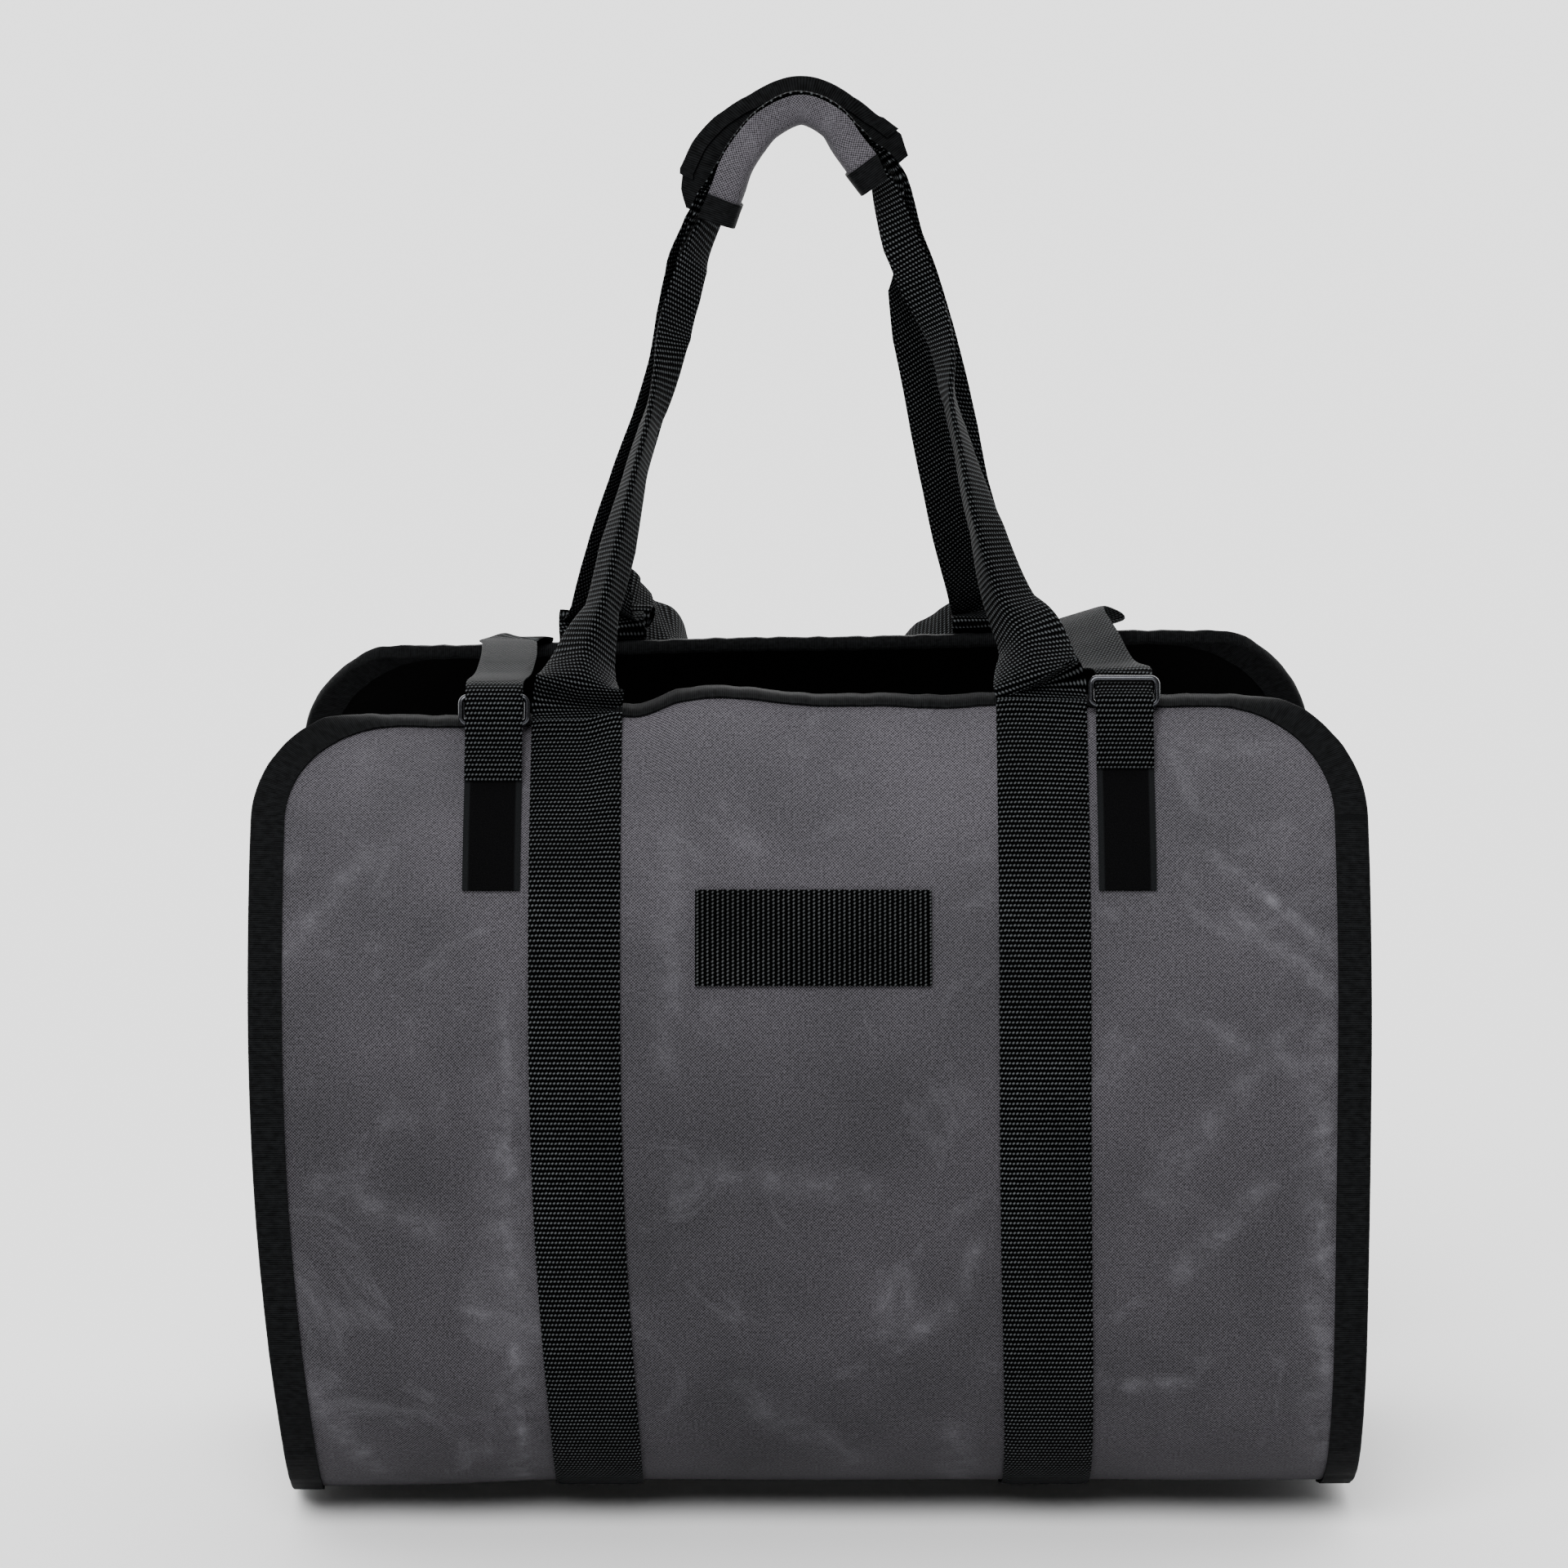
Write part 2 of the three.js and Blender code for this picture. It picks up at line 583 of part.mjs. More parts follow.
// Centre line of the grip, from its left end over the top to its right end.
const gripLine = new THREE.CatmullRomCurve3(
  gripRows.map((row) => new THREE.Vector3(row.across * strapSpread, 0, wallHeight + row.up * handleRise)),
  false,
  'centripetal',
);
gripLine.arcLengthDivisions = 400;
const foldedHalf = webWidth / 4;
const stackStep = 2.35;
const gripTwist = 30;
const gripTwistShift = 1.6;
const gripTwistReach = 0.25;

// Stations of the webbing inside the grip: side is -1 for the front handle and 1 for the rear one.
// The stack lies flat over the middle of the grip and turns towards the front at both ends.
function gripStations(side) {
  const stations = [];
  const count = 10;
  for (let k = 0; k < count; k += 1) {
    const share = k / (count - 1);
    const ending = smooth(1 - Math.min(share, 1 - share) / gripTwistReach);
    const turn = ending * gripTwist;
    const cosine = Math.cos(turn * degree);
    const sine = Math.sin(turn * degree);
    const { inside } = strapFrame(gripLine.getTangentAt(share));
    const depth = side * (foldedHalf * sine - stackStep * cosine) - gripTwistShift * ending;
    const point = gripLine.getPointAt(share).addScaledVector(inside, depth);
    point.y = side * (foldedHalf * cosine + stackStep * sine);
    stations.push({ point, inner: -side * 86 - turn, outer: -side * 94 - turn });
  }
  return stations;
}

function legStations(rows, side) {
  return rows.map((row) => ({
    point: new THREE.Vector3(
      row.across * strapSpread,
      side * row.out * mouthHalf,
      wallHeight + (side > 0 ? rearExtraHeight : 0) * (1 - row.up) + row.up * handleRise,
    ),
    inner: row.inner,
    outer: row.outer,
  }));
}

// Roots of a handle, just past the end of the sewn strap: the webbing's lift over the binding and
// the further rise towards the edge.
const rootLift = 1.7;
const rootRise = 3.2;

function rootStations(x, side) {
  return [bindingFace - 5 * laidGap, 0.4 * bindingFace].map((drop, k) => ({
    point: onCanvas(x, side * (halfLength - drop), overBinding + webThick / 2 + rootLift + rootRise * k),
    inner: 0,
    outer: side * -180,
  }));
}

function handle(side, leftRows, rightRows) {
  const stations = [
    ...rootStations(-strapSpread, side),
    ...legStations(leftRows, side),
    ...gripStations(side),
    ...legStations(rightRows, side).reverse(),
    ...rootStations(strapSpread, side).reverse(),
  ];
  return foldedStrap(stations, 13, webWidth, webThick);
}

// Sewn straps run from one top edge under the bottom to the other.
function sewnStrap(x) {
  const end = halfLength - bindingFace;
  const rows = sheetRows.filter((s) => Math.abs(s) <= end + 0.01);
  return laidPiece([x - webWidth / 2, x + webWidth / 2], rows, liftOverBinding, webThick);
}

// Turn of the sling's sewn ends about their own line, so that they lie along the leaning straps.
const slingTurnLeft = 6;
const slingTurnRight = 9;

function sling() {
  const rootOff = webThick + plyGap + webThick / 2;
  const root = (x, turn) => [
    { point: onCanvas(x, halfLength - 3.8 * bindingFace, laidGap + rootOff + 0.2), turn: turn / 2 },
    { point: onCanvas(x, halfLength - 2.4 * bindingFace, laidGap + rootOff + 1.1), turn },
  ];
  const free = slingRows.map((row) => ({
    point: new THREE.Vector3(
      row.across * strapSpread,
      row.out * bellyDepth,
      wallHeight + rearExtraHeight + row.up * wallHeight,
    ),
    turn: row.turn,
  }));
  const stations = [...root(-strapSpread, slingTurnLeft), ...free, ...root(strapSpread, slingTurnRight).reverse()];
  return flatStrap(stations, 14, webWidth, webThick, strapFrame);
}

// Pad of the grip: a channel open at the top, whose rear flap stands higher than the front one.
// Points of its inner face across the pad, as distance from the centre line and depth.
function padProfile(share) {
  const place = gripLine.getUtoTmapping(share) * (gripRows.length - 1);
  const low = Math.min(gripRows.length - 2, Math.floor(place));
  const near = THREE.MathUtils.lerp(gripRows[low].near, gripRows[low + 1].near, place - low) * gripChannel;
  const far = THREE.MathUtils.lerp(gripRows[low].far, gripRows[low + 1].far, place - low) * gripChannel;
  const half = gripChannel / 2;
  const chamfer = 1.6;
  return [
    { rise: near, deep: -half },
    { rise: -gripFloorDepth + chamfer, deep: -half },
    { rise: -gripFloorDepth, deep: -half + chamfer },
    { rise: -gripFloorDepth, deep: half - chamfer },
    { rise: -gripFloorDepth + chamfer, deep: half },
    { rise: far * 0.45, deep: half + far * 0.06 },
    { rise: far, deep: half + far * 0.3 },
  ];
}

// The profile moved outwards by a distance, square to each of its stretches.
function offsetProfile(profile, distance) {
  return profile.map((point, k) => {
    const before = profile[Math.max(0, k - 1)];
    const after = profile[Math.min(profile.length - 1, k + 1)];
    const normal = (a, b) => {
      const length = Math.hypot(b.rise - a.rise, b.deep - a.deep);
      return { rise: -(b.deep - a.deep) / length, deep: (b.rise - a.rise) / length };
    };
    const first = k > 0 ? normal(before, point) : normal(point, after);
    const second = k < profile.length - 1 ? normal(point, after) : normal(before, point);
    const scale = distance / (1 + first.rise * second.rise + first.deep * second.deep);
    return {
      rise: point.rise + (first.rise + second.rise) * scale,
      deep: point.deep + (first.deep + second.deep) * scale,
    };
  });
}

function padPoint(share, place) {
  const { inside } = strapFrame(gripLine.getTangentAt(share));
  const point = gripLine.getPointAt(share).addScaledVector(inside, -place.rise);
  point.y = place.deep;
  return point;
}

function padLayer(shares, distance) {
  return shares.map((share) => offsetProfile(padProfile(share), distance).map((place) => padPoint(share, place)));
}

function padShares(from, to, steps) {
  return Array.from({ length: steps + 1 }, (_, k) => THREE.MathUtils.lerp(from, to, k / steps));
}

const padSteps = 22;
const cuffSteps = 2;
const allPadShares = padShares(0, 1, padSteps);
const padCanvasOff = gripLiningThick + plyGap;

function padPly(innerOff, outerOff) {
  return sheetSolid(padLayer(allPadShares, innerOff), padLayer(allPadShares, outerOff));
}

// Tape over the pad's end, on its outside.
function padCuff(first) {
  const off = padCanvasOff + gripCanvasThick + plyGap;
  const shares = allPadShares.slice(first, first + cuffSteps + 1);
  return sheetSolid(padLayer(shares, off), padLayer(shares, off + cuffThick));
}

// Tape folded over the rear flap's upper edge, between the cuffs.
function padRim() {
  const gap = plyGap + 0.5;
  const thick = cuffThick;
  const stack = padCanvasOff + gripCanvasThick;
  const start = allPadShares[cuffSteps] + 0.01;
  const shares = allPadShares.slice(cuffSteps, -cuffSteps);
  shares[0] = start;
  shares[shares.length - 1] = 1 - start;
  const ring = (share, extra) => {
    const profile = padProfile(share);
    const top = profile[profile.length - 1];
    const below = profile[profile.length - 2];
    const length = Math.hypot(top.rise - below.rise, top.deep - below.deep);
    const up = { rise: (top.rise - below.rise) / length, deep: (top.deep - below.deep) / length };
    const out = { rise: -up.deep, deep: up.rise };
    const spot = (along, across) => padPoint(share, {
      rise: top.rise + up.rise * along + out.rise * across,
      deep: top.deep + up.deep * along + out.deep * across,
    });
    return [
      spot(-rimTapeWidth, -gap - extra),
      spot(gap + extra, -gap - extra),
      spot(gap + extra, stack + gap + extra),
      spot(-rimTapeWidth, stack + gap + extra),
    ];
  };
  const front = shares.map((share) => ring(share, thick));
  const back = shares.map((share) => ring(share, 0));
  return sheetSolid(front, back);
}

// Places near the front edge, by drop below the edge and distance off the canvas.
function frontPlace(x, drop, off) {
  return onCanvas(x, -(halfLength - drop), off);
}

function rearPlace(x, drop, off) {
  return onCanvas(x, halfLength - drop, off);
}

const eyeDrop = 15;
const eyeRadius = ringWire / 2 + 2 * plyGap + securityThick / 2;
const eyeOff = overBinding + securityThick / 2 + eyeRadius + 0.5;

function eyeCentre(x) {
  return frontPlace(x, eyeDrop, eyeOff);
}

// Direction in which the ring stands up from its tab: mostly up, leaning a little to the rear.
const ringUp = new THREE.Vector3(0, 0.22, 1).normalize();

// Rectangular wire ring with rounded corners, its lower bar in the tab's eye.
function wireRing(x) {
  const halfSpan = securityWidth / 2 + ringSideClearance + ringWire / 2;
  const round = 2.6;
  const low = eyeCentre(x);
  const right = new THREE.Vector3(1, 0, 0);
  const out = new THREE.Vector3().crossVectors(ringUp, right).normalize();
  const corners = [
    { a: halfSpan - round, b: round, from: -90 },
    { a: halfSpan - round, b: ringHeight - round, from: 0 },
    { a: -halfSpan + round, b: ringHeight - round, from: 90 },
    { a: -halfSpan + round, b: round, from: 180 },
  ];
  const path = [];
  for (const corner of corners) {
    for (const turn of [0, 45, 90]) {
      const angle = (corner.from + turn) * degree;
      const cosine = Math.cos(angle);
      const sine = Math.sin(angle);
      path.push({ a: corner.a + round * cosine, b: corner.b + round * sine, cosine, sine });
    }
  }
  const sides = 6;
  const positions = [];
  const index = [];
  for (const place of path) {
    const centre = low.clone().addScaledVector(right, place.a).addScaledVector(ringUp, place.b);
    const away = right.clone().multiplyScalar(place.cosine).addScaledVector(ringUp, place.sine);
    for (let k = 0; k < sides; k += 1) {
      const angle = (k / sides) * 2 * Math.PI;
      const p = centre.clone().addScaledVector(away, (ringWire / 2) * Math.cos(angle));
      p.addScaledVector(out, (ringWire / 2) * Math.sin(angle));
      positions.push(p.x, p.y, p.z);
    }
  }
  for (let j = 0; j < path.length; j += 1) {
    const next = (j + 1) % path.length;
    for (let k = 0; k < sides; k += 1) {
      const turn = (k + 1) % sides;
      const a = j * sides + k;
      const b = next * sides + k;
      const c = next * sides + turn;
      const d = j * sides + turn;
      index.push(a, c, b, a, d, c);
    }
  }
  const geometry = new THREE.BufferGeometry();
  geometry.setAttribute('position', new THREE.Float32BufferAttribute(positions, 3));
  geometry.setIndex(index);
  geometry.computeVertexNormals();
  return geometry;
}

// Webbing tab folded round the ring's lower bar, both ends sewn to the front.
function ringTab(x) {
  const half = securityThick / 2;
  const centre = eyeCentre(x);
  const up = frontPlace(x, eyeDrop - 2, eyeOff).sub(frontPlace(x, eyeDrop + 2, eyeOff)).normalize();
  const out = frontPlace(x, eyeDrop, eyeOff + 4).sub(centre).normalize();
  const under = (drop, off) => frontPlace(x, drop, off + half);
  const over = (drop, off) => frontPlace(x, drop, off + half + securityThick + plyGap);
  const path = [
    under(tabLength, laidGap),
    under(2.5 * bindingFace, laidGap + 0.2),
    under(1.95 * bindingFace, overBinding + 0.2),
    under(1.6 * bindingFace, overBinding + 0.4),
  ];
  for (const angle of [-90, -45, 0, 45, 90, 125]) {
    const along = Math.cos(angle * degree) * eyeRadius;
    const away = Math.sin(angle * degree) * eyeRadius;
    path.push(centre.clone().addScaledVector(up, along).addScaledVector(out, away));
  }
  path.push(over(1.95 * bindingFace, overBinding + 0.3));
  path.push(over(2.5 * bindingFace, laidGap + 0.3));
  path.push(over(tabLength - 1, laidGap + 0.1));
  const front = [];
  const back = [];
  for (let k = 0; k < path.length; k += 1) {
    const before = path[Math.max(0, k - 1)];
    const after = path[Math.min(path.length - 1, k + 1)];
    const along = after.clone().sub(before);
    along.x = 0;
    along.normalize();
    const side = new THREE.Vector3(1, 0, 0);
    const normal = new THREE.Vector3().crossVectors(side, along).normalize();
    const row = (offset) => [-1, 1].map((sign) => {
      return path[k].clone().addScaledVector(side, (sign * tabWidth) / 2).addScaledVector(normal, offset);
    });
    front.push(row(-half));
    back.push(row(half));
  }
  return sheetSolid(front, back);
}

// Security strap: sewn to the rear wall, over the mouth, past the ring and down the front.
function securityStrap(x, overRows, throughRing) {
  const half = securityThick / 2;
  const clear = half + plyGap;
  const centre = eyeCentre(x);
  const bar = centre.clone().addScaledVector(ringUp, ringHeight);
  const tabFace = securityThick * 2 + plyGap;
  const near = (point, y, z) => ({ point: new THREE.Vector3(x, point.y + y, point.z + z), turn: 0 });
  const stations = [
    { point: rearPlace(x, 3.6 * bindingFace, laidGap + half), turn: 0 },
    { point: rearPlace(x, 2.2 * bindingFace, laidGap + half + 0.2), turn: 0 },
    { point: rearPlace(x, bindingFace, overBinding + half + 0.8), turn: 0 },
    { point: rearPlace(x, 0.3 * bindingFace, overBinding + half + 1.6), turn: 0 },
  ];
  for (const row of overRows) {
    stations.push({
      point: new THREE.Vector3(
        Math.abs(row.across) * x,
        row.out * bellyDepth,
        wallHeight + row.rise * wallHeight,
      ),
      turn: row.turn,
    });
  }
  if (throughRing) {
    stations.push(near(bar, 9, 2.2), near(bar, 3.7, -0.8), near(bar, -1.8, -4.8), near(centre, -4.6, 2.8));
  } else {
    stations.push(near(bar, 8, 5.2), near(bar, 0.4, 3.6), near(bar, -4.4, -1.2), near(centre, -4.9, 3.4));
  }
  const over = (drop, off) => ({ point: frontPlace(x, drop, off + tabFace + clear), turn: 0 });
  stations.push(over(2.1 * bindingFace, overBinding + 0.3));
  stations.push(over(2.55 * bindingFace, laidGap + 0.6));
  stations.push(over(tabLength, laidGap + 0.4));
  stations.push({ point: frontPlace(x, tabLength + 7, laidGap + patchThick + clear + 0.3), turn: 0 });
  return flatStrap(stations, 12, securityWidth, securityThick, crossFrame);
}

function loopPatch(x) {
  const top = -(halfLength - tabLength - 1);
  const bottom = top + patchLength;
  const rows = [top, ...sheetRows.filter((s) => s > top + 1 && s < bottom - 1), bottom];
  return laidPiece([x - patchWidth / 2, x, x + patchWidth / 2], rows, () => laidGap, patchThick);
}

function frontPatch() {
  const top = -(halfLength - frontPatchDrop);
  const bottom = top + frontPatchHeight;
  const rows = [top, ...sheetRows.filter((s) => s > top + 1 && s < bottom - 1), bottom];
  const left = frontPatchShift - frontPatchWidth / 2;
  const right = frontPatchShift + frontPatchWidth / 2;
  const columns = [left, ...sheetColumns.filter((x) => x > left + 1 && x < right - 1), right];
  return laidPiece(columns, rows, () => laidGap + 0.3, webThick);
}

const gripTop = gripLine.getPoint(0.6);
const gripUnderside = gripFloorDepth + padCanvasOff + gripCanvasThick;

const carrier = new THREE.Group();
carrier.position.set(-gripTop.x, 0, -(gripTop.z - gripUnderside));

function addPiece(name, geometry, material) {
  const mesh = new THREE.Mesh(geometry, material);
  mesh.name = name;
  carrier.add(mesh);
}

addPiece('canvas_body', bodyPly(0, -canvasThick), canvasGrey);
addPiece('lining', bodyPly(-canvasThick - plyGap, -plyStack), liningBlack);
addPiece('edge_binding', bindingSolid(), tapeBlack);
addPiece('strap_run_left', sewnStrap(-strapSpread), webbingBlack);
addPiece('strap_run_right', sewnStrap(strapSpread), webbingBlack);
addPiece('front_handle', handle(-1, frontLegLeft, frontLegRight), webbingBlack);
addPiece('rear_handle', handle(1, rearLegLeft, rearLegRight), webbingBlack);
addPiece('rear_sling', sling(), webbingBlack);
addPiece('grip_canvas', padPly(padCanvasOff, padCanvasOff + gripCanvasThick), canvasGrey);
addPiece('grip_lining', padPly(0, gripLiningThick), liningBlack);
addPiece('grip_cuff_left', padCuff(0), tapeBlack);
addPiece('grip_cuff_right', padCuff(padSteps - cuffSteps), tapeBlack);
addPiece('grip_rim', padRim(), tapeBlack);
addPiece('security_strap_left', securityStrap(securityLeft, securityOverLeft, false), webbingBlack);
addPiece('security_strap_right', securityStrap(securityRight, securityOverRight, true), webbingBlack);
addPiece('ring_left', wireRing(securityLeft), ringSteel);
addPiece('ring_right', wireRing(securityRight), ringSteel);
addPiece('ring_tab_left', ringTab(securityLeft), webbingBlack);
addPiece('ring_tab_right', ringTab(securityRight), webbingBlack);
addPiece('loop_patch_left', loopPatch(securityLeft), loopBlack);
addPiece('loop_patch_right', loopPatch(securityRight), loopBlack);
addPiece('front_patch', frontPatch(), webbingBlack);

export default carrier;
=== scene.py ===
import math

import bpy
import numpy as np
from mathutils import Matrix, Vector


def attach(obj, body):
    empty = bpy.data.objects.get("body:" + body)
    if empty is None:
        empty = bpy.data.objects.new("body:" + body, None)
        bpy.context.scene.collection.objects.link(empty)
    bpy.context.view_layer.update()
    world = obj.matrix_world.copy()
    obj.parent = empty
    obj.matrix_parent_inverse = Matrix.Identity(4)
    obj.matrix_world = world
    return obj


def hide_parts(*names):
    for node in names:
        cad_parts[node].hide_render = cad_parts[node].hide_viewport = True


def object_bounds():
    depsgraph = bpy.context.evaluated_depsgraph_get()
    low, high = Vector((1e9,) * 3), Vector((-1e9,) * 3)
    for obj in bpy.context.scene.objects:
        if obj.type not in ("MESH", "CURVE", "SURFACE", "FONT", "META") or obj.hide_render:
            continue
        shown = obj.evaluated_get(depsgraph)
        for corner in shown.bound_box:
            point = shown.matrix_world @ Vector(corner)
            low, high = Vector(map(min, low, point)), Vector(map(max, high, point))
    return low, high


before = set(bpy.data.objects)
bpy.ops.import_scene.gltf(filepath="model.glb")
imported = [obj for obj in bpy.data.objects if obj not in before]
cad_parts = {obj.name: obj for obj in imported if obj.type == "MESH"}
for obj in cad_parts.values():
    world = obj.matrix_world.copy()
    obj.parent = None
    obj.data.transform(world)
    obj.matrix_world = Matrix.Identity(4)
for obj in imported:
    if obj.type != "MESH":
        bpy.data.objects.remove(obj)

cad_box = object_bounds()


# Camera, light and floor. The camera stands 3 m in front and 9 degrees above, with a long lens.
# A large soft light stands high above and a little in front, with a weak fill from the room.
look_at = np.array([-0.0075, 0.0, -0.2857])
camera_reach = 3.0
camera_rise = math.radians(9)
camera_data = bpy.data.cameras.new("camera")
camera_data.sensor_width = 36
camera_data.lens = 159.04
camera = bpy.data.objects.new("camera", camera_data)
camera.location = look_at + camera_reach * np.array([0, -math.cos(camera_rise), math.sin(camera_rise)])
camera.rotation_euler = (math.pi / 2 - camera_rise, 0, 0)
bpy.context.collection.objects.link(camera)
bpy.context.scene.camera = camera


def linear(code):
    """Linear colour of an sRGB hex code: each channel is ((c + 0.055) / 1.055) to the power 2.4."""
    channels = [int(code[k:k + 2], 16) / 255 for k in (1, 3, 5)]
    return tuple(c / 12.92 if c <= 0.04045 else ((c + 0.055) / 1.055) ** 2.4 for c in channels) + (1.0,)


def node(tree, kind, inputs=None, **settings):
    """Adds one shader node to a tree, with its settings. Each input is a value, a hex colour, a
    socket, or a node, which stands for its first output."""
    made = tree.nodes.new("ShaderNode" + kind)
    for key, value in settings.items():
        setattr(made, key, value)
    for key, value in (inputs or {}).items():
        if isinstance(value, bpy.types.Node):
            value = value.outputs[0]
        if isinstance(value, bpy.types.NodeSocket):
            tree.links.new(value, made.inputs[key])
        else:
            made.inputs[key].default_value = linear(value) if isinstance(value, str) else value
    return made


key_light = bpy.data.lights.new("key_light", "SUN")
key_light.energy = 4.6
key_light.angle = math.radians(40)
key = bpy.data.objects.new("key_light", key_light)
key.rotation_euler = (math.radians(46), 0, math.radians(-14))
bpy.context.collection.objects.link(key)

# The room is brighter towards the backdrop than behind the camera.
room_dim, room_bright = 0.12, 4.2
world = bpy.data.worlds.new("studio")
bpy.context.scene.world = world
world.use_nodes = True
tree = world.node_tree
facing = node(tree, "TexCoord")
facing_parts = node(tree, "SeparateXYZ", {0: facing.outputs["Generated"]})
room = node(tree, "MapRange", {
    "Value": facing_parts.outputs[1], "From Min": -0.3, "From Max": 0.9,
    "To Min": room_dim, "To Max": room_bright,
})
tree.links.new(room.outputs[0], tree.nodes["Background"].inputs["Strength"])
tree.nodes["Background"].inputs["Color"].default_value = (1, 1, 1, 1)

floor_gap = 0.004
floor_corners = [
    (x, y, cad_box[0][2] - floor_gap) for x, y in ((-60, -60), (60, -60), (60, 60), (-60, 60))
]
floor_mesh = bpy.data.meshes.new("floor")
floor_mesh.from_pydata(floor_corners, [], [(0, 1, 2, 3)])
floor = bpy.data.objects.new("floor", floor_mesh)
bpy.context.collection.objects.link(floor)
floor_material = bpy.data.materials.new("matte_paper")
floor_material.use_nodes = True
floor_shader = floor_material.node_tree.nodes["Principled BSDF"]
floor_shader.inputs["Base Color"].default_value = linear("#f4f4f4")
floor_shader.inputs["Roughness"].default_value = 0.9
floor_mesh.materials.append(floor_material)


# The bag's sheet. One long piece of waxed cotton canvas, cut with rounded corners and hung by its
# ends as a trough. It is woven plain, then waxed, which leaves pale marks along its creases.
# Sizes are in millimetres from the middle of the bottom, and hang_shift takes them to the frame.
sheet_width = 462.0
wall_height = 340.0
belly_depth = 150.0
rear_extra_height = 5.0
corner_radius = 63.0
strap_spread = 97.5
handle_rise = 249.2
hang_shift = np.array([3.0225, 0.0, -579.2])
steady_half_width = 145.0
row_spacing = 3.1

# The walls' line from the middle of the bottom: out and up, in shares of the depth and height.
wall_sections = [
    (0.0, 0.0), (0.4, 0.0), (0.77, 0.065), (0.953, 0.19), (1.0, 0.325), (1.012, 0.5),
    (0.985, 0.66), (0.87, 0.81), (0.733, 0.906), (0.627, 0.965), (0.553, 0.996), (0.487, 1.0),
]
# How the top edges wave: the place from -1 to 1 across, and the rise in shares of the height.
front_edge_wave = [
    (-1.0, -0.012), (-0.65, -0.021), (-0.42, -0.018), (-0.33, -0.004), (-0.23, 0.016), (0.0, 0.004),
    (0.17, 0.008), (0.34, 0.01), (0.55, 0.005), (0.74, 0.006), (1.0, 0.0),
]
rear_edge_wave = [(-1.0, -0.012), (-0.78, -0.008), (0.0, 0.003), (0.74, 0.012), (1.0, 0.01)]
# How far the rear top edge leans sideways, in shares of the depth.
rear_shift = [(-1.0, 0.09), (-0.5, 0.043), (-0.4, 0.043), (0.4, -0.097), (1.0, -0.097)]
rear_start, rear_span = 0.72, 0.28
edge_reach = 1.6 * corner_radius
# Low on the front the sheet is drawn in from the left, and its left corner sinks.
lower_place, lower_spread = -0.22, 0.24
lower_draw, lower_sink, lower_start = 0.04, 0.02, 0.5
# Folds and dents: across, along, wide, tall, deep, in shares of half the sheet and of its depth.
sheet_folds = [
    (-0.27, -0.94, 0.07, 0.07, -0.03), (-0.1, -0.93, 0.13, 0.08, 0.024), (0.25, -0.93, 0.09, 0.08, -0.02),
    (0.83, -0.78, 0.1, 0.12, 0.03), (-0.86, -0.76, 0.1, 0.14, -0.03), (-0.7, -0.4, 0.14, 0.2, 0.024),
    (0.75, -0.34, 0.16, 0.12, 0.02), (0.0, -0.5, 0.24, 0.22, 0.02), (0.1, 0.55, 0.3, 0.2, 0.02),
    (-0.75, 0.5, 0.15, 0.2, -0.02),
]


def unit(vectors):
    """The same directions with length 1."""
    return vectors / np.linalg.norm(vectors, axis=-1, keepdims=True)


def smooth_line(points, per_span):
    """Points along a smooth line through the given ones, which lie along the first axis.
    Each span is the cubic whose end slopes come from the neighbours, spaced by the square roots
    of the distances between the points."""
    p = np.asarray(points, float)
    p = np.concatenate([[2 * p[0] - p[1]], p, [2 * p[-1] - p[-2]]])
    gap = np.sqrt(np.maximum(np.linalg.norm(np.diff(p, axis=0), axis=-1, keepdims=True), 1e-9))
    p0, p1, p2, p3 = p[:-3], p[1:-2], p[2:-1], p[3:]
    d0, d1, d2 = gap[:-2], gap[1:-1], gap[2:]
    m1 = ((p1 - p0) / d0 - (p2 - p0) / (d0 + d1) + (p2 - p1) / d1) * d1
    m2 = ((p2 - p1) / d1 - (p3 - p1) / (d1 + d2) + (p3 - p2) / d2) * d1
    t = np.linspace(0, 1, per_span, endpoint=False).reshape((1, -1) + (1,) * (p.ndim - 1))
    p1, p2, m1, m2 = (a[:, None] for a in (p1, p2, m1, m2))
    spans = (
        (2 * t**3 - 3 * t**2 + 1) * p1 + (t**3 - 2 * t**2 + t) * m1
        + (3 * t**2 - 2 * t**3) * p2 + (t**3 - t**2) * m2
    )
    return np.concatenate([spans.reshape((-1,) + p.shape[1:]), p[-2:-1]])


def eased(table, at):
    """Value of a table of places and values: between rows it follows the smooth step 3t^2 - 2t^3."""
    places, values = np.array(table, float).T
    k = np.clip(np.searchsorted(places, at) - 1, 0, len(places) - 2)
    t = np.clip((at - places[k]) / (places[k + 1] - places[k]), 0, 1)
    return values[k] + (values[k + 1] - values[k]) * t * t * (3 - 2 * t)


def step(t):
    """The smooth step 3t^2 - 2t^3, held at 0 below 0 and at 1 above 1."""
    t = np.clip(t, 0, 1)
    return t * t * (3 - 2 * t)


def run_along(points):
    """Length along a line of points from its start."""
    return np.concatenate([[0], np.cumsum(np.linalg.norm(np.diff(points, axis=0), axis=1))])


half_section = np.array(wall_sections) * (belly_depth, wall_height)
section = smooth_line(np.concatenate([(half_section * (-1, 1))[::-1], half_section[1:]]), per_span=60)
half_length = run_along(section)[-1] / 2
section_run = run_along(section) - half_length
section_slope = np.gradient(section, section_run, axis=0)
half_width = sheet_width / 2
mouth_half = wall_sections[-2][0] * belly_depth


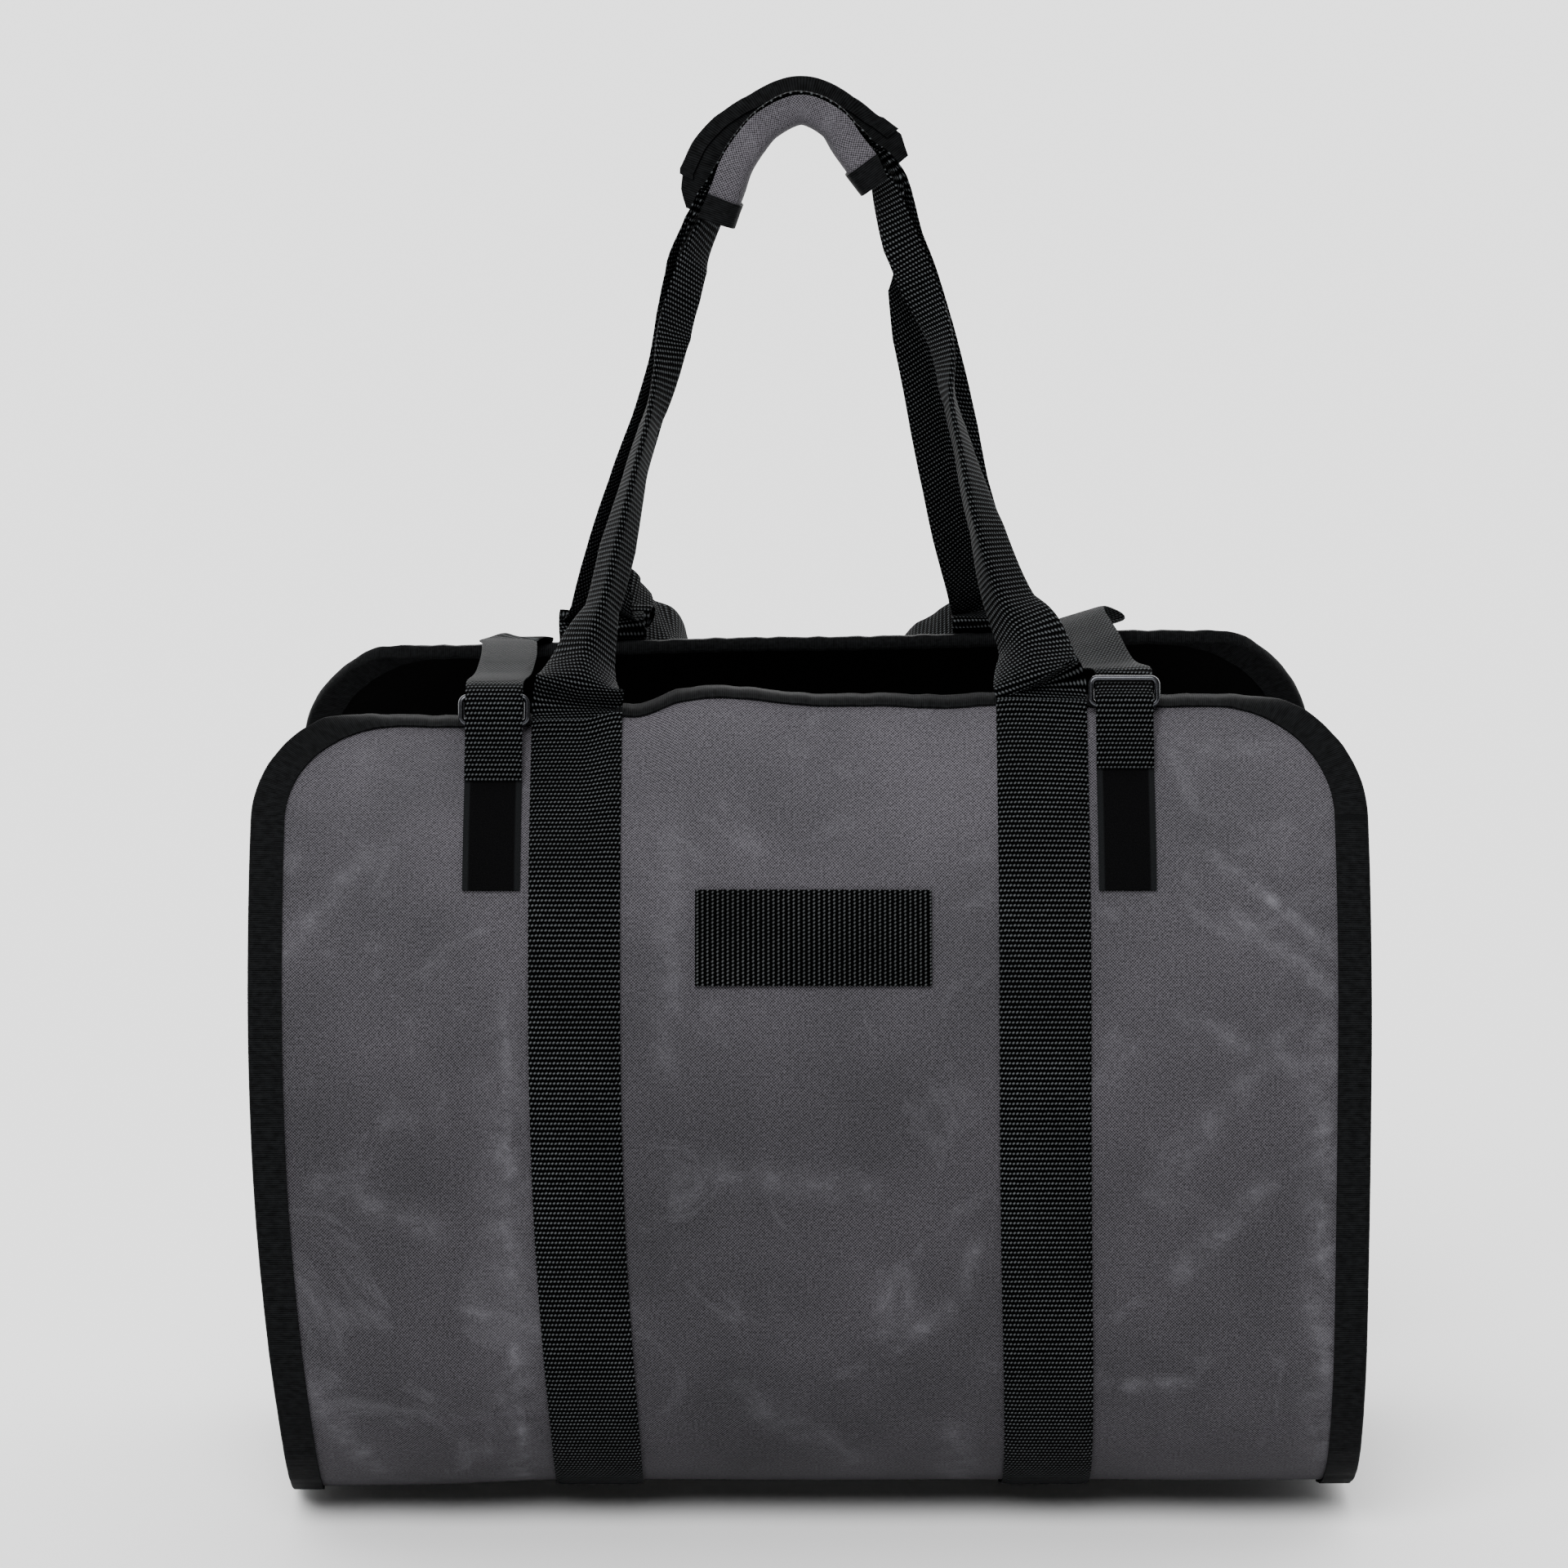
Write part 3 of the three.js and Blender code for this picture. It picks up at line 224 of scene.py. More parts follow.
def cloth(x, s, off):
    """Point of the sheet at x across and run s from the middle of the bottom, in millimetres.
    The section's point is moved along its normal by off plus the folds, each a bell of given
    width and height, and the edges and corners are raised or drawn in by smooth steps."""
    x, s, off = np.broadcast_arrays(np.asarray(x, float), np.asarray(s, float), np.asarray(off, float))
    inside = np.clip(s, -half_length, half_length)
    y, z = (np.interp(inside, section_run, section[:, k]) for k in (0, 1))
    slope_y, slope_z = (np.interp(inside, section_run, section_slope[:, k]) for k in (0, 1))
    across, along = x / half_width, inside / half_length
    push = off.copy()
    for place_across, place_along, wide, tall, deep in sheet_folds:
        bell = ((across - place_across) / wide) ** 2 + ((along - place_along) / tall) ** 2
        push += deep * belly_depth * np.exp(-bell)
    near = step(1 - (half_length - np.abs(inside)) / edge_reach)
    wave = np.where(inside < 0, eased(front_edge_wave, across), eased(rear_edge_wave, across))
    rise = near * wall_height * wave + np.where(inside < 0, 0, rear_extra_height * step(along))
    lower = np.exp(-(((along - lower_place) / lower_spread) ** 2))
    sink = step((-across - lower_start) / (1 - lower_start)) * lower * lower_sink * belly_depth
    rear = step((along - rear_start) / rear_span) * eased(rear_shift, across)
    past = s - inside
    return np.stack([
        x + (lower * lower_draw * (1 - across) + rear) * belly_depth,
        y + slope_y * past + slope_z * push,
        np.maximum(0, z) + slope_z * past - slope_y * push + rise - sink,
    ], axis=-1)


def new_piece(name, points, faces):
    """A smooth mesh of points in millimetres, placed in the frame, which rides on the one body."""
    mesh = bpy.data.meshes.new(name)
    mesh.from_pydata(((points + hang_shift) / 1000).tolist(), [], faces.tolist())
    mesh.polygons.foreach_set("use_smooth", np.ones(len(faces), bool))
    piece = bpy.data.objects.new(name, mesh)
    bpy.context.collection.objects.link(piece)
    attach(piece, "root")
    return piece


def closed_piece(name, outer, inner, across, along, looped=False, sharp=50):
    """A closed solid between two grids of points, joined round their rims, with a UV map of the
    cloth's own millimetres across and along, in metres. A looped grid's last row joins its first.
    Faces are turned outwards by the solid's volume."""
    rows, columns = outer.shape[:2]
    points = np.concatenate([outer.reshape(-1, 3), inner.reshape(-1, 3)])
    grid = np.arange(rows * columns).reshape(rows, columns)
    if looped:
        grid = np.concatenate([grid, grid[:1]])
    top = np.stack([grid[:-1, :-1], grid[1:, :-1], grid[1:, 1:], grid[:-1, 1:]], -1).reshape(-1, 4)
    under = top[:, ::-1] + rows * columns
    rims = [(grid[:, 0], 1), (grid[:, -1], -1)]
    if not looped:
        rims += [(grid[0], -1), (grid[-1], 1)]
    faces = [top, under]
    for rim, turn in rims:
        strip = np.stack([rim[:-1], rim[:-1] + rows * columns, rim[1:] + rows * columns, rim[1:]], -1)
        faces.append(strip[:, ::turn])
    faces = np.concatenate(faces)
    p, q, r, s = points[faces].transpose(1, 0, 2)
    if (p * (np.cross(q, r) + np.cross(r, s))).sum() < 0:
        faces = faces[:, ::-1]
    piece = new_piece(name, points, faces)
    uv = np.stack(np.broadcast_arrays(across, along), -1).reshape(-1, 2) / 1000
    layer = piece.data.uv_layers.new(name="cloth")
    layer.data.foreach_set("uv", np.tile(uv, (2, 1))[faces].astype(np.float32).ravel())
    piece.data.set_sharp_from_angle(angle=math.radians(sharp))
    return piece


def dress(piece, material, solid):
    """Gives a piece its material, and hides the CAD solid that it stands for."""
    piece.data.materials.append(material)
    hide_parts(solid)


def half_width_at(s):
    """Half the sheet's width at run s: in the last stretch it follows a circle's arc."""
    back = np.clip(corner_radius - (half_length - np.abs(s)), 0, corner_radius)
    return half_width - corner_radius + np.sqrt(corner_radius**2 - back**2)


def sheet_grid(columns, ends):
    """Even columns and rows of the sheet, which close in along the rounded corners."""
    x = np.linspace(-half_width, half_width, columns)[None, :]
    angles = np.linspace(0, math.pi / 2, ends)
    corner_rows = half_length - corner_radius * (1 - np.cos(angles))
    middle = np.linspace(-corner_rows[-1], corner_rows[-1], int(2 * corner_rows[-1] / row_spacing))
    s = np.concatenate([-corner_rows[:-1], middle, corner_rows[:-1][::-1]])[:, None]
    share = np.clip((np.abs(x) - steady_half_width) / (half_width - steady_half_width), 0, 1)
    beyond = steady_half_width + share * (half_width_at(s) - steady_half_width)
    return np.where(share > 0, np.sign(x) * beyond, x + 0 * s), s + 0 * x


# Pale wax marks where the canvas was creased: across and along of both ends, width, strength.
# They are in millimetres of the sheet, the runs counted from the middle of the bottom.
wax_marks = [
    (-126, -345, -131, -60, 3.2, 0.5), (-127, -330, -131, -70, 9.0, 0.3), (-152, -205, -100, -190, 3.0, 0.5),
    (163, -398, 228, -345, 2.6, 0.6), (172, -372, 226, -330, 3.4, 0.45), (150, -330, 215, -300, 4.0, 0.3),
    (34, -190, 60, -206, 3.0, 0.5), (60, -206, 70, -236, 3.0, 0.35), (128, -168, 160, -172, 2.8, 0.5),
    (148, -215, 196, -262, 4.5, 0.35), (-226, -190, -190, -112, 8.0, 0.3), (212, -330, 218, -110, 9.0, 0.38),
    (-218, -74, -100, -82, 3.4, 0.4), (-60, -300, -56, -420, 6.0, 0.22), (56, -150, 62, -60, 8.0, 0.25),
    (-226, -345, -180, -402, 4.5, 0.35), (-40, -170, 20, -120, 8.0, 0.2), (135, -80, 220, -84, 4.0, 0.3),
    (-60, -262, 30, -256, 6.0, 0.22), (-210, -260, -150, -236, 6.0, 0.25), (140, -250, 205, -330, 5.0, 0.25),
    (-140, 300, 60, 180, 4.0, 0.35), (120, 340, 210, 120, 4.0, 0.35), (-200, 90, -90, 260, 4.0, 0.35),
    (-60, 20, 40, 150, 4.0, 0.3),
]


def wax_strength(x, s):
    """How strongly wax shows at each place: for each mark, a bell of its width round its line, made
    uneven by sines with waves of 17 to 27 mm."""
    total = np.zeros(np.broadcast(x, s).shape)
    for x0, s0, x1, s1, wide, strength in wax_marks:
        line = np.array([x1 - x0, s1 - s0], float)
        share = np.clip(((x - x0) * line[0] + (s - s0) * line[1]) / (line @ line), 0, 1)
        away = np.hypot(x - x0 - share * line[0], s - s0 - share * line[1])
        fade = np.sqrt(np.maximum(0, 1 - (2 * share - 1) ** 4))
        ragged = 0.6 + 0.4 * np.sin(0.11 * x0 + 0.37 * s) * np.sin(0.23 * s + 0.31 * x)
        total = np.maximum(total, strength * fade * ragged * np.exp(-((away / wide) ** 2)))
    return total


canvas_thick = 1.2
ply_gap = 0.3
lining_thick = 1.0
ply_stack = canvas_thick + ply_gap + lining_thick
sheet_x, sheet_s = sheet_grid(columns=151, ends=16)
canvas = closed_piece(
    "canvas_cloth", cloth(sheet_x, sheet_s, 0), cloth(sheet_x, sheet_s, -canvas_thick), sheet_x, sheet_s
)
wax = canvas.data.attributes.new("wax", "FLOAT", "POINT")
wax.data.foreach_set("value", np.tile(wax_strength(sheet_x, sheet_s).ravel(), 2).astype(np.float32))


def new_finish(name):
    """A new material and its emptied node tree."""
    material = bpy.data.materials.new(name)
    material.use_nodes = True
    material.node_tree.nodes.clear()
    return material, material.node_tree


def cloth_map(tree):
    """A cloth's own UV map, and its places across and along, in metres."""
    places = node(tree, "UVMap", uv_map="cloth")
    parts = node(tree, "SeparateXYZ", {0: places})
    return places, parts.outputs[0], parts.outputs[1]


def ripple(tree, place, pitch, noise=None, sway=0):
    """A sine along a coordinate, with a pitch in metres, its phase swayed by a noise."""
    angle = node(tree, "Math", {0: place, 1: 2 * math.pi / pitch}, operation="MULTIPLY")
    if noise:
        angle = node(tree, "Math", {0: noise, 1: sway, 2: angle}, operation="MULTIPLY_ADD")
    return node(tree, "Math", {0: angle}, operation="SINE")


def cloth_shader(tree, colour, height, bump, roughness, ior, gloss, sheen=0.0):
    """Ends a cloth's tree: a bump of a strength and a depth from its height, shader and output."""
    raised = node(tree, "Bump", {"Strength": bump[0], "Distance": bump[1], "Height": height})
    shader = node(tree, "BsdfPrincipled", {
        "Base Color": colour, "Roughness": roughness, "IOR": ior, "Specular IOR Level": gloss,
        "Sheen Weight": sheen, "Normal": raised,
    })
    node(tree, "OutputMaterial", {0: shader})


# Waxed cotton canvas: plain weave of 0.6 mm threads, drawn at 1.25 mm so that it shows.
# It looks matt and a little cloudy, with paler creases and a faint wax sheen.
# A Mix of colours takes its share at 0 and its colours at 6 and 7, and gives its colour at 2.
thread_pitch = 0.00125
thread_dark, thread_pale = 0.2, 1.95
canvas_material, tree = new_finish("waxed_cotton_canvas")
weave_map, across, along = cloth_map(tree)
wobble = node(tree, "TexNoise", {"Vector": weave_map, "Scale": 260.0, "Detail": 3.0})
cloud = node(tree, "TexNoise", {"Vector": weave_map, "Scale": 9.0, "Detail": 5.0, "Roughness": 0.6})
slub = node(tree, "TexNoise", {"Vector": weave_map, "Scale": 900.0, "Detail": 2.0})
weft, warp = (ripple(tree, part, thread_pitch, wobble, 3.0) for part in (across, along))
weave = node(tree, "Math", {0: weft, 1: warp}, operation="MULTIPLY")
grain = node(tree, "Math", {0: weave, 1: 0.5, 2: slub}, operation="MULTIPLY_ADD")
cloudy = node(tree, "MapRange", {"Value": cloud, "From Min": 0.32, "From Max": 0.7})
canvas_base = node(tree, "Mix", {0: cloudy, 6: "#302f32", 7: "#3d3b3f"}, data_type="RGBA")
grained = node(tree, "MapRange", {"Value": grain, "From Min": 0.12, "From Max": 0.88})
canvas_grained = node(
    tree, "Mix", {0: grained, 6: (*[thread_dark] * 3, 1), 7: (*[thread_pale] * 3, 1)}, data_type="RGBA"
)
canvas_colour = node(
    tree, "Mix", {0: 1.0, 6: canvas_base.outputs[2], 7: canvas_grained.outputs[2]},
    data_type="RGBA", blend_type="MULTIPLY",
)
# Painted light: the cloth is painted paler from 0.28 m to 0.45 m of run, up to its top edges, and darker low
# down, for the way the light falls on it.
rise_value = node(tree, "Math", {0: along}, operation="ABSOLUTE")
painted_top_light = node(tree, "MapRange", {
    "Value": rise_value, "From Min": 0.28, "From Max": 0.45, "To Min": 0.83, "To Max": 1.36,
})
canvas_with_painted_light = node(tree, "VectorMath", {0: canvas_colour.outputs[2], "Scale": painted_top_light}, operation="SCALE")
# Wax: the marks of the table, broken up, and fine wisps all over.
wax_value = node(tree, "Attribute", attribute_name="wax")
wax_break = node(tree, "TexNoise", {"Vector": weave_map, "Scale": 95.0, "Detail": 7.0, "Roughness": 0.75})
wax_broken = node(tree, "MapRange", {"Value": wax_break, "From Min": 0.36, "From Max": 0.66})
wax_mix = node(tree, "Math", {0: wax_value.outputs["Fac"], 1: wax_broken}, operation="MULTIPLY")
wax_wisps = node(tree, "TexNoise", {
    "Vector": weave_map, "Scale": 15.0, "Detail": 9.0, "Roughness": 0.7, "Distortion": 1.6,
})
wax_haze = node(tree, "MapRange", {
    "Value": wax_wisps, "From Min": 0.56, "From Max": 0.8, "To Min": 0.0, "To Max": 0.22,
})
wax_all = node(tree, "Math", {0: wax_mix, 1: wax_haze}, operation="MAXIMUM")
wax_soft = node(tree, "Math", {0: wax_all, 1: 0.85}, operation="MULTIPLY")
canvas_waxed = node(tree, "Mix", {0: wax_soft, 6: canvas_with_painted_light, 7: "#7d7c82"}, data_type="RGBA")
cloth_shader(tree, canvas_waxed.outputs[2], grain, (0.45, 0.0003), 0.72, 1.45, gloss=0.06, sheen=0.02)
dress(canvas, canvas_material, "canvas_body")


# Lining. A second ply of black coated nylon, sewn to the canvas along the edges only.
# It shows at the curled top edges and inside the mouth.
lining_x, lining_s = sheet_grid(columns=101, ends=12)
lining = closed_piece(
    "lining_cloth", cloth(lining_x, lining_s, -canvas_thick - ply_gap), cloth(lining_x, lining_s, -ply_stack),
    lining_x, lining_s,
)
# Coated nylon: a fine weave under a coat of polyurethane, near black and dull.
lining_material, tree = new_finish("coated_nylon_lining")
lining_map = node(tree, "UVMap", uv_map="cloth")
cloudy = node(tree, "TexNoise", {"Vector": lining_map, "Scale": 14.0, "Detail": 6.0})
lining_weave = node(tree, "TexNoise", {"Vector": lining_map, "Scale": 1400.0, "Detail": 1.0})
lining_colour = node(tree, "Mix", {0: cloudy, 6: "#010101", 7: "#040404"}, data_type="RGBA")
cloth_shader(tree, lining_colour.outputs[2], lining_weave, (0.3, 0.0002), 0.62, 1.45, gloss=0.02)
dress(lining, lining_material, "lining")


# Edge binding. Black polyester tape, 25 mm wide, folded over the raw edges and sewn through with
# one row of black thread 2 mm from its inner edge.
binding_face = 12.4
binding_gap = 0.45
binding_thick = 1.0
nose_gap, nose_reach = 0.6, 0.2
leg_stop = 0.8


def outline_places(spacing):
    """Places once round the sheet's outline with their outward directions: straight stretches and
    quarter circles, evenly spaced."""
    long_half, wide_half = half_length - corner_radius, half_width - corner_radius
    quarter = np.linspace(0, math.pi / 2, int(corner_radius * math.pi / 2 / spacing) + 1)
    sides = np.linspace(-long_half, long_half, int(2 * long_half / spacing))[1:-1]
    ends = np.linspace(-wide_half, wide_half, int(2 * wide_half / spacing))[1:-1]
    parts = []
    for turn, (sign_x, sign_s) in enumerate(((1, 1), (-1, 1), (-1, -1), (1, -1))):
        if turn % 2 == 0:
            straight = (sign_x * half_width, sides * sign_s, sign_x, 0)
        else:
            straight = (ends * -sign_s, sign_s * half_length, 0, sign_s)
        angle = quarter + turn * math.pi / 2
        out_x, out_s = np.cos(angle), np.sin(angle)
        corner_x, corner_s = sign_x * wide_half, sign_s * long_half
        corner = (corner_x + corner_radius * out_x, corner_s + corner_radius * out_s, out_x, out_s)
        parts += [np.stack(np.broadcast_arrays(*straight), -1), np.stack(corner, -1)]
    return np.concatenate(parts)


def tape_section(spread):
    """Half round section of the folded tape: inset from the edge and distance off the canvas."""
    low, high = -ply_stack - binding_gap, binding_gap
    middle, half = (low + high) / 2, (high - low) / 2 + spread
    bend = np.linspace(math.pi / 2, -math.pi / 2, 9)
    nose = np.stack([-nose_gap - (spread + nose_reach) * np.cos(bend), middle + half * np.sin(bend)], -1)
    legs = np.linspace(binding_face, leg_stop, 6)
    outer = np.stack([legs, 0 * legs + middle + half], -1)
    return np.concatenate([outer, nose, outer[::-1] * (1, -1) + (0, 2 * middle)])


# The tape puckers in two small waves, 18 mm and 11 mm long.
places = outline_places(spacing=3.0)
place_run = run_along(places[:, :2])
pucker = 0.18 * np.sin(place_run / 2.9) + 0.12 * np.sin(place_run / 1.7 + 1)


def tape_surface(spread):
    """The tape's section carried round the outline, with its pucker on both faces."""
    rows = tape_section(spread)
    inset, off = rows[None, :, 0], rows[None, :, 1]
    x = places[:, None, 0] - inset * places[:, None, 2]
    s = places[:, None, 1] - inset * places[:, None, 3]
    return cloth(x, s, off + np.sign(off + ply_stack / 2) * pucker[:, None])


tape_face_half = 12.5
binding = closed_piece(
    "binding_tape_edge", tape_surface(binding_thick), tape_surface(0),
    np.linspace(-tape_face_half, tape_face_half, len(tape_section(0))), place_run[:, None], looped=True,
)

# Polyester binding tape: fine ribs across of 0.5 mm, drawn at 0.9 mm, black with a slight sheen.
tape_rib_pitch = 0.0009
tape_material, tree = new_finish("woven_polyester_tape")
tape_map, across, along = cloth_map(tree)
rib = ripple(tree, along, tape_rib_pitch)
tape_noise = node(tree, "TexNoise", {"Vector": tape_map, "Scale": 500.0, "Detail": 3.0})
tape_height = node(tree, "Math", {0: rib, 1: 0.25, 2: tape_noise}, operation="MULTIPLY_ADD")
tape_range = node(tree, "MapRange", {"Value": tape_height, "From Min": 0.15, "From Max": 0.9})
tape_colour = node(tree, "Mix", {0: tape_range, 6: "#040404", 7: "#161718"}, data_type="RGBA")
cloth_shader(tree, tape_colour.outputs[2], tape_height, (0.5, 0.0003), 0.6, 1.5, gloss=0.015)
dress(binding, tape_material, "edge_binding")


# Carry webbing. Black polypropylene webbing, 38 mm wide and 1.6 mm thick, with ribs across it.
# It is sewn up the front, under the bottom and up the rear, with a box stitch at each top.
web_width = 38.0
web_thick = 1.6
laid_gap = 0.35
over_binding = binding_gap + binding_thick + 0.3
strap_end_drop = 12
strap_end = half_length - strap_end_drop
step_down = 10
thinnest = 0.12


def edge_round(across, power=8):
    """Share of the full thickness at a place from -1 to 1 across: the square root of one less a high
    power of the place, so that it is full and then rounds off at the edges."""
    return np.sqrt(np.maximum(thinnest, 1 - np.abs(across) ** power))


def lift_over_binding(s):
    """How far a laid strap stands off the canvas: it steps up over the tape near the top edges."""
    drop = half_length - np.abs(s)
    return over_binding + (laid_gap - over_binding) * step((drop - strap_end_drop) / step_down)


def laid_strap(name, x, s0, s1, width, thick, lift, rows, columns=15):
    """Webbing laid on the sheet from run s0 to s1 round the line x, its edges rounded."""
    share = np.linspace(-1, 1, columns)[None, :]
    across = share * width / 2
    s = np.linspace(s0, s1, rows)[:, None]
    half = thick / 2 * edge_round(share)
    middle = lift(s) + thick / 2
    outer, inner = cloth(x + across, s, middle + half), cloth(x + across, s, middle - half)
    return closed_piece(name, outer, inner, across, s)


# Polypropylene webbing: ribs of 2.1 mm across the strap, broken into short floats like dots.
# It is black, and its rib tops are painted grey as highlights that stand in for glints. Sewn stretches show
# dashes of black thread.
rib_pitch = 0.0021
float_pitch = 0.0016
dash_pitch = 0.0032
thread_half = 0.0005


def webbing_finish(name, turned, edge, painted_glint="#505355"):
    """Ribs and floats from sines along and across the strap, turned a quarter for a patch, and two rows of
    dashed thread at a distance from the middle. The rib tops take a paler colour as a painted highlight."""
    material, tree = new_finish(name)
    uv, across, along = cloth_map(tree)
    if turned:
        across, along = along, across
    noise = node(tree, "TexNoise", {"Vector": uv, "Scale": 420.0, "Detail": 2.0})
    broad = node(tree, "TexNoise", {"Vector": uv, "Scale": 22.0, "Detail": 3.0})
    rib_wave = ripple(tree, along, rib_pitch, noise, 1.4)
    half_turn = node(tree, "Math", {0: along, 1: math.pi / rib_pitch}, operation="MULTIPLY")
    float_turns = 2 * math.pi / float_pitch
    float_angle = node(tree, "Math", {0: across, 1: float_turns, 2: half_turn}, operation="MULTIPLY_ADD")
    float_wave = node(tree, "Math", {0: float_angle}, operation="SINE")
    floats = node(tree, "Math", {0: float_wave, 1: 0.7, 2: rib_wave}, operation="MULTIPLY_ADD")
    height = node(tree, "Math", {0: noise, 1: 0.5, 2: floats}, operation="MULTIPLY_ADD")
    off_middle = node(tree, "Math", {0: across}, operation="ABSOLUTE")
    to_row = node(tree, "Math", {0: off_middle, 1: edge}, operation="SUBTRACT")
    near_row = node(tree, "Math", {0: to_row}, operation="ABSOLUTE")
    in_row = node(tree, "Math", {0: near_row, 1: thread_half}, operation="LESS_THAN")
    dash = node(tree, "Math", {0: ripple(tree, along, dash_pitch), 1: -0.45}, operation="GREATER_THAN")
    thread = node(tree, "Math", {0: in_row, 1: dash}, operation="MULTIPLY")
    sewn = node(tree, "Math", {0: thread, 1: 1.6, 2: height}, operation="MULTIPLY_ADD")
    # Painted highlight: the rib tops are coloured paler to stand in for their glints.
    painted_rib_glint = node(tree, "MapRange", {"Value": height, "From Min": 0.55, "From Max": 2.1})
    colour = node(tree, "Mix", {0: painted_rib_glint, 6: "#010101", 7: painted_glint}, data_type="RGBA")
    worn = node(tree, "MapRange", {
        "Value": broad, "From Min": 0.3, "From Max": 0.7, "To Min": 0.75, "To Max": 1.15,
    })
    shaded = node(tree, "VectorMath", {0: colour.outputs[2], "Scale": worn}, operation="SCALE")
    cloth_shader(tree, shaded, sewn, (0.7, 0.0004), 0.55, 1.49, gloss=0.01)
    return material


carry_webbing = webbing_finish("polypropylene_webbing", turned=False, edge=0.0162)
for side, x in (("left", -strap_spread), ("right", strap_spread)):
    run = laid_strap(
        f"sewn_strap_{side}", x, -strap_end, strap_end, web_width, web_thick, lift_over_binding, rows=330
    )
    dress(run, carry_webbing, f"strap_run_{side}")


# Handles. The same webbing goes on above the top edges as two loops. Each leg folds lengthwise on
# its way up, and both loops run doubled through the grip.

# A leg's rows: across, up and out, in shares of the straps' spread, the handles' rise and half the
# mouth, and the turns in degrees of the fold's two halves.
front_leg_left = [
    (-0.985, 0.04, 1.04, 11, 168), (-0.949, 0.097, 0.89, 47, 133), (-0.888, 0.17, 0.795, 66, 110),
    (-0.826, 0.269, 0.687, 64, 111), (-0.755, 0.385, 0.554, 72, 102), (-0.7, 0.47, 0.45, 74, 98),
    (-0.679, 0.54, 0.38, 57, 86), (-0.669, 0.615, 0.33, 36, 62), (-0.62, 0.69, 0.24, 34, 50),
    (-0.564, 0.745, 0.18, 40, 54),
]
front_leg_right = [
    (0.98, 0.05, 1.05, 6, 173), (0.928, 0.11, 0.91, 36, 152), (0.831, 0.17, 0.795, 63, 134),
    (0.72, 0.297, 0.65, 81, 126), (0.655, 0.42, 0.51, 83, 108), (0.62, 0.505, 0.41, 82, 98),
    (0.636, 0.57, 0.36, 64, 88), (0.62, 0.63, 0.31, 50, 72), (0.554, 0.715, 0.22, 22, 40),
    (0.49, 0.775, 0.15, 22, 38),
]
rear_leg_left = [
    (-0.94, 0.045, 1.08, -8, -160), (-0.926, 0.1, 0.92, -42, -132), (-0.88, 0.2, 0.76, -60, -122),
    (-0.795, 0.33, 0.61, -66, -114), (-0.7, 0.45, 0.47, -70, -110), (-0.635, 0.55, 0.37, -70, -108),
    (-0.588, 0.64, 0.29, -80, -110), (-0.535, 0.71, 0.215, -96, -112),
]
rear_leg_right = [
    (0.845, 0.055, 1.12, -6, -172), (0.79, 0.12, 0.98, -25, -152), (0.723, 0.2, 0.8, -36, -146),
    (0.651, 0.32, 0.63, -40, -138), (0.598, 0.42, 0.52, -41, -140), (0.556, 0.5, 0.43, -43, -138),
    (0.497, 0.6, 0.34, -46, -135), (0.44, 0.69, 0.27, -58, -130), (0.385, 0.76, 0.21, -92, -126),
]
# The grip's rows: across and up, and the heights of its front and rear flaps.
grip_rows = [
    (-0.438, 0.796, 0.2, 0.45), (-0.415, 0.822, 0.18, 0.66), (-0.385, 0.852, 0.17, 0.76),
    (-0.349, 0.893, 0.16, 0.7), (-0.287, 0.933, 0.15, 0.58), (-0.204, 0.9705, 0.13, 0.38),
    (-0.031, 1.0, 0.11, 0.34), (0.132, 0.9705, 0.13, 0.37), (0.2, 0.931, 0.17, 0.6),
    (0.267, 0.895, 0.19, 0.74), (0.326, 0.865, 0.08, 0.6),
]
stack_step = 2.35
grip_twist = 30.0
twist_share, twist_drop = 0.25, 1.6
grip_fold = 4
grip_span = 24
fold_softness = 0.13
root_drops, root_rises = np.array([11.6, 4.8]), np.array([0.0, 3.0])


def strap_frame(line):
    """Tangent, back and inside directions along a line: back is the rear direction made square to
    the tangent, and inside is square to both."""
    tangent = unit(np.gradient(line, axis=0))
    back = unit(np.array([0.0, 1, 0]) - tangent * tangent[:, 1:2])
    return tangent, back, np.cross(back, tangent)


grip_points = np.array([(row[0] * strap_spread, 0, wall_height + row[1] * handle_rise) for row in grip_rows])
grip_line = smooth_line(grip_points, grip_span)
grip_inside = strap_frame(grip_line)[2]
grip_length = run_along(grip_line)[-1]
grip_run = run_along(grip_line) / grip_length


def along_grip(shares, values):
    """Values given along the grip's line, read at shares of its length."""
    return np.stack([np.interp(shares, grip_run, values[:, k]) for k in range(values.shape[1])], -1)


def along_stations(stations, per_span):
    """A smooth line through the stations' points, and their angles along it in radians."""
    stations = np.asarray(stations, float)
    dense = smooth_line(stations[:, :3], per_span)
    at, places = np.arange(len(dense)) / per_span, np.arange(len(stations))
    return dense, [np.radians(np.interp(at, places, angles)) for angles in stations[:, 3:].T]


def swung(angle, start, quarter):
    """Directions turned by an angle from a start towards the direction a quarter turn on."""
    return np.cos(angle)[:, None] * start + np.sin(angle)[:, None] * quarter


def folded_strap(name, stations, width, thick, per_span=14):
    """Webbing folded along its middle: across it, each half runs along its own direction, and a
    square root rounds the fold between them. Stations hold point, inner and outer angles."""
    dense, (inner, outer) = along_stations(stations, per_span)
    tangent, back, inside = strap_frame(dense)
    ray_in, ray_out = swung(inner, inside, back), swung(outer, inside, back)
    q = np.linspace(1, -1, 25)
    reach_in = (q + np.sqrt(q**2 + fold_softness**2)) / 2
    reach_out = (-q + np.sqrt(q**2 + fold_softness**2)) / 2
    surface = dense[:, None] + width / 2 * (
        reach_in[None, :, None] * ray_in[:, None] + reach_out[None, :, None] * ray_out[:, None]
    )
    normal = unit(np.cross(-np.gradient(surface, axis=1), tangent[:, None]))
    off = thick / 2 * edge_round(q, power=12)[None, :, None] * normal
    across, along = q * width / 2, run_along(dense)[:, None]
    return closed_piece(name, surface + off, surface - off, across, along, sharp=70)


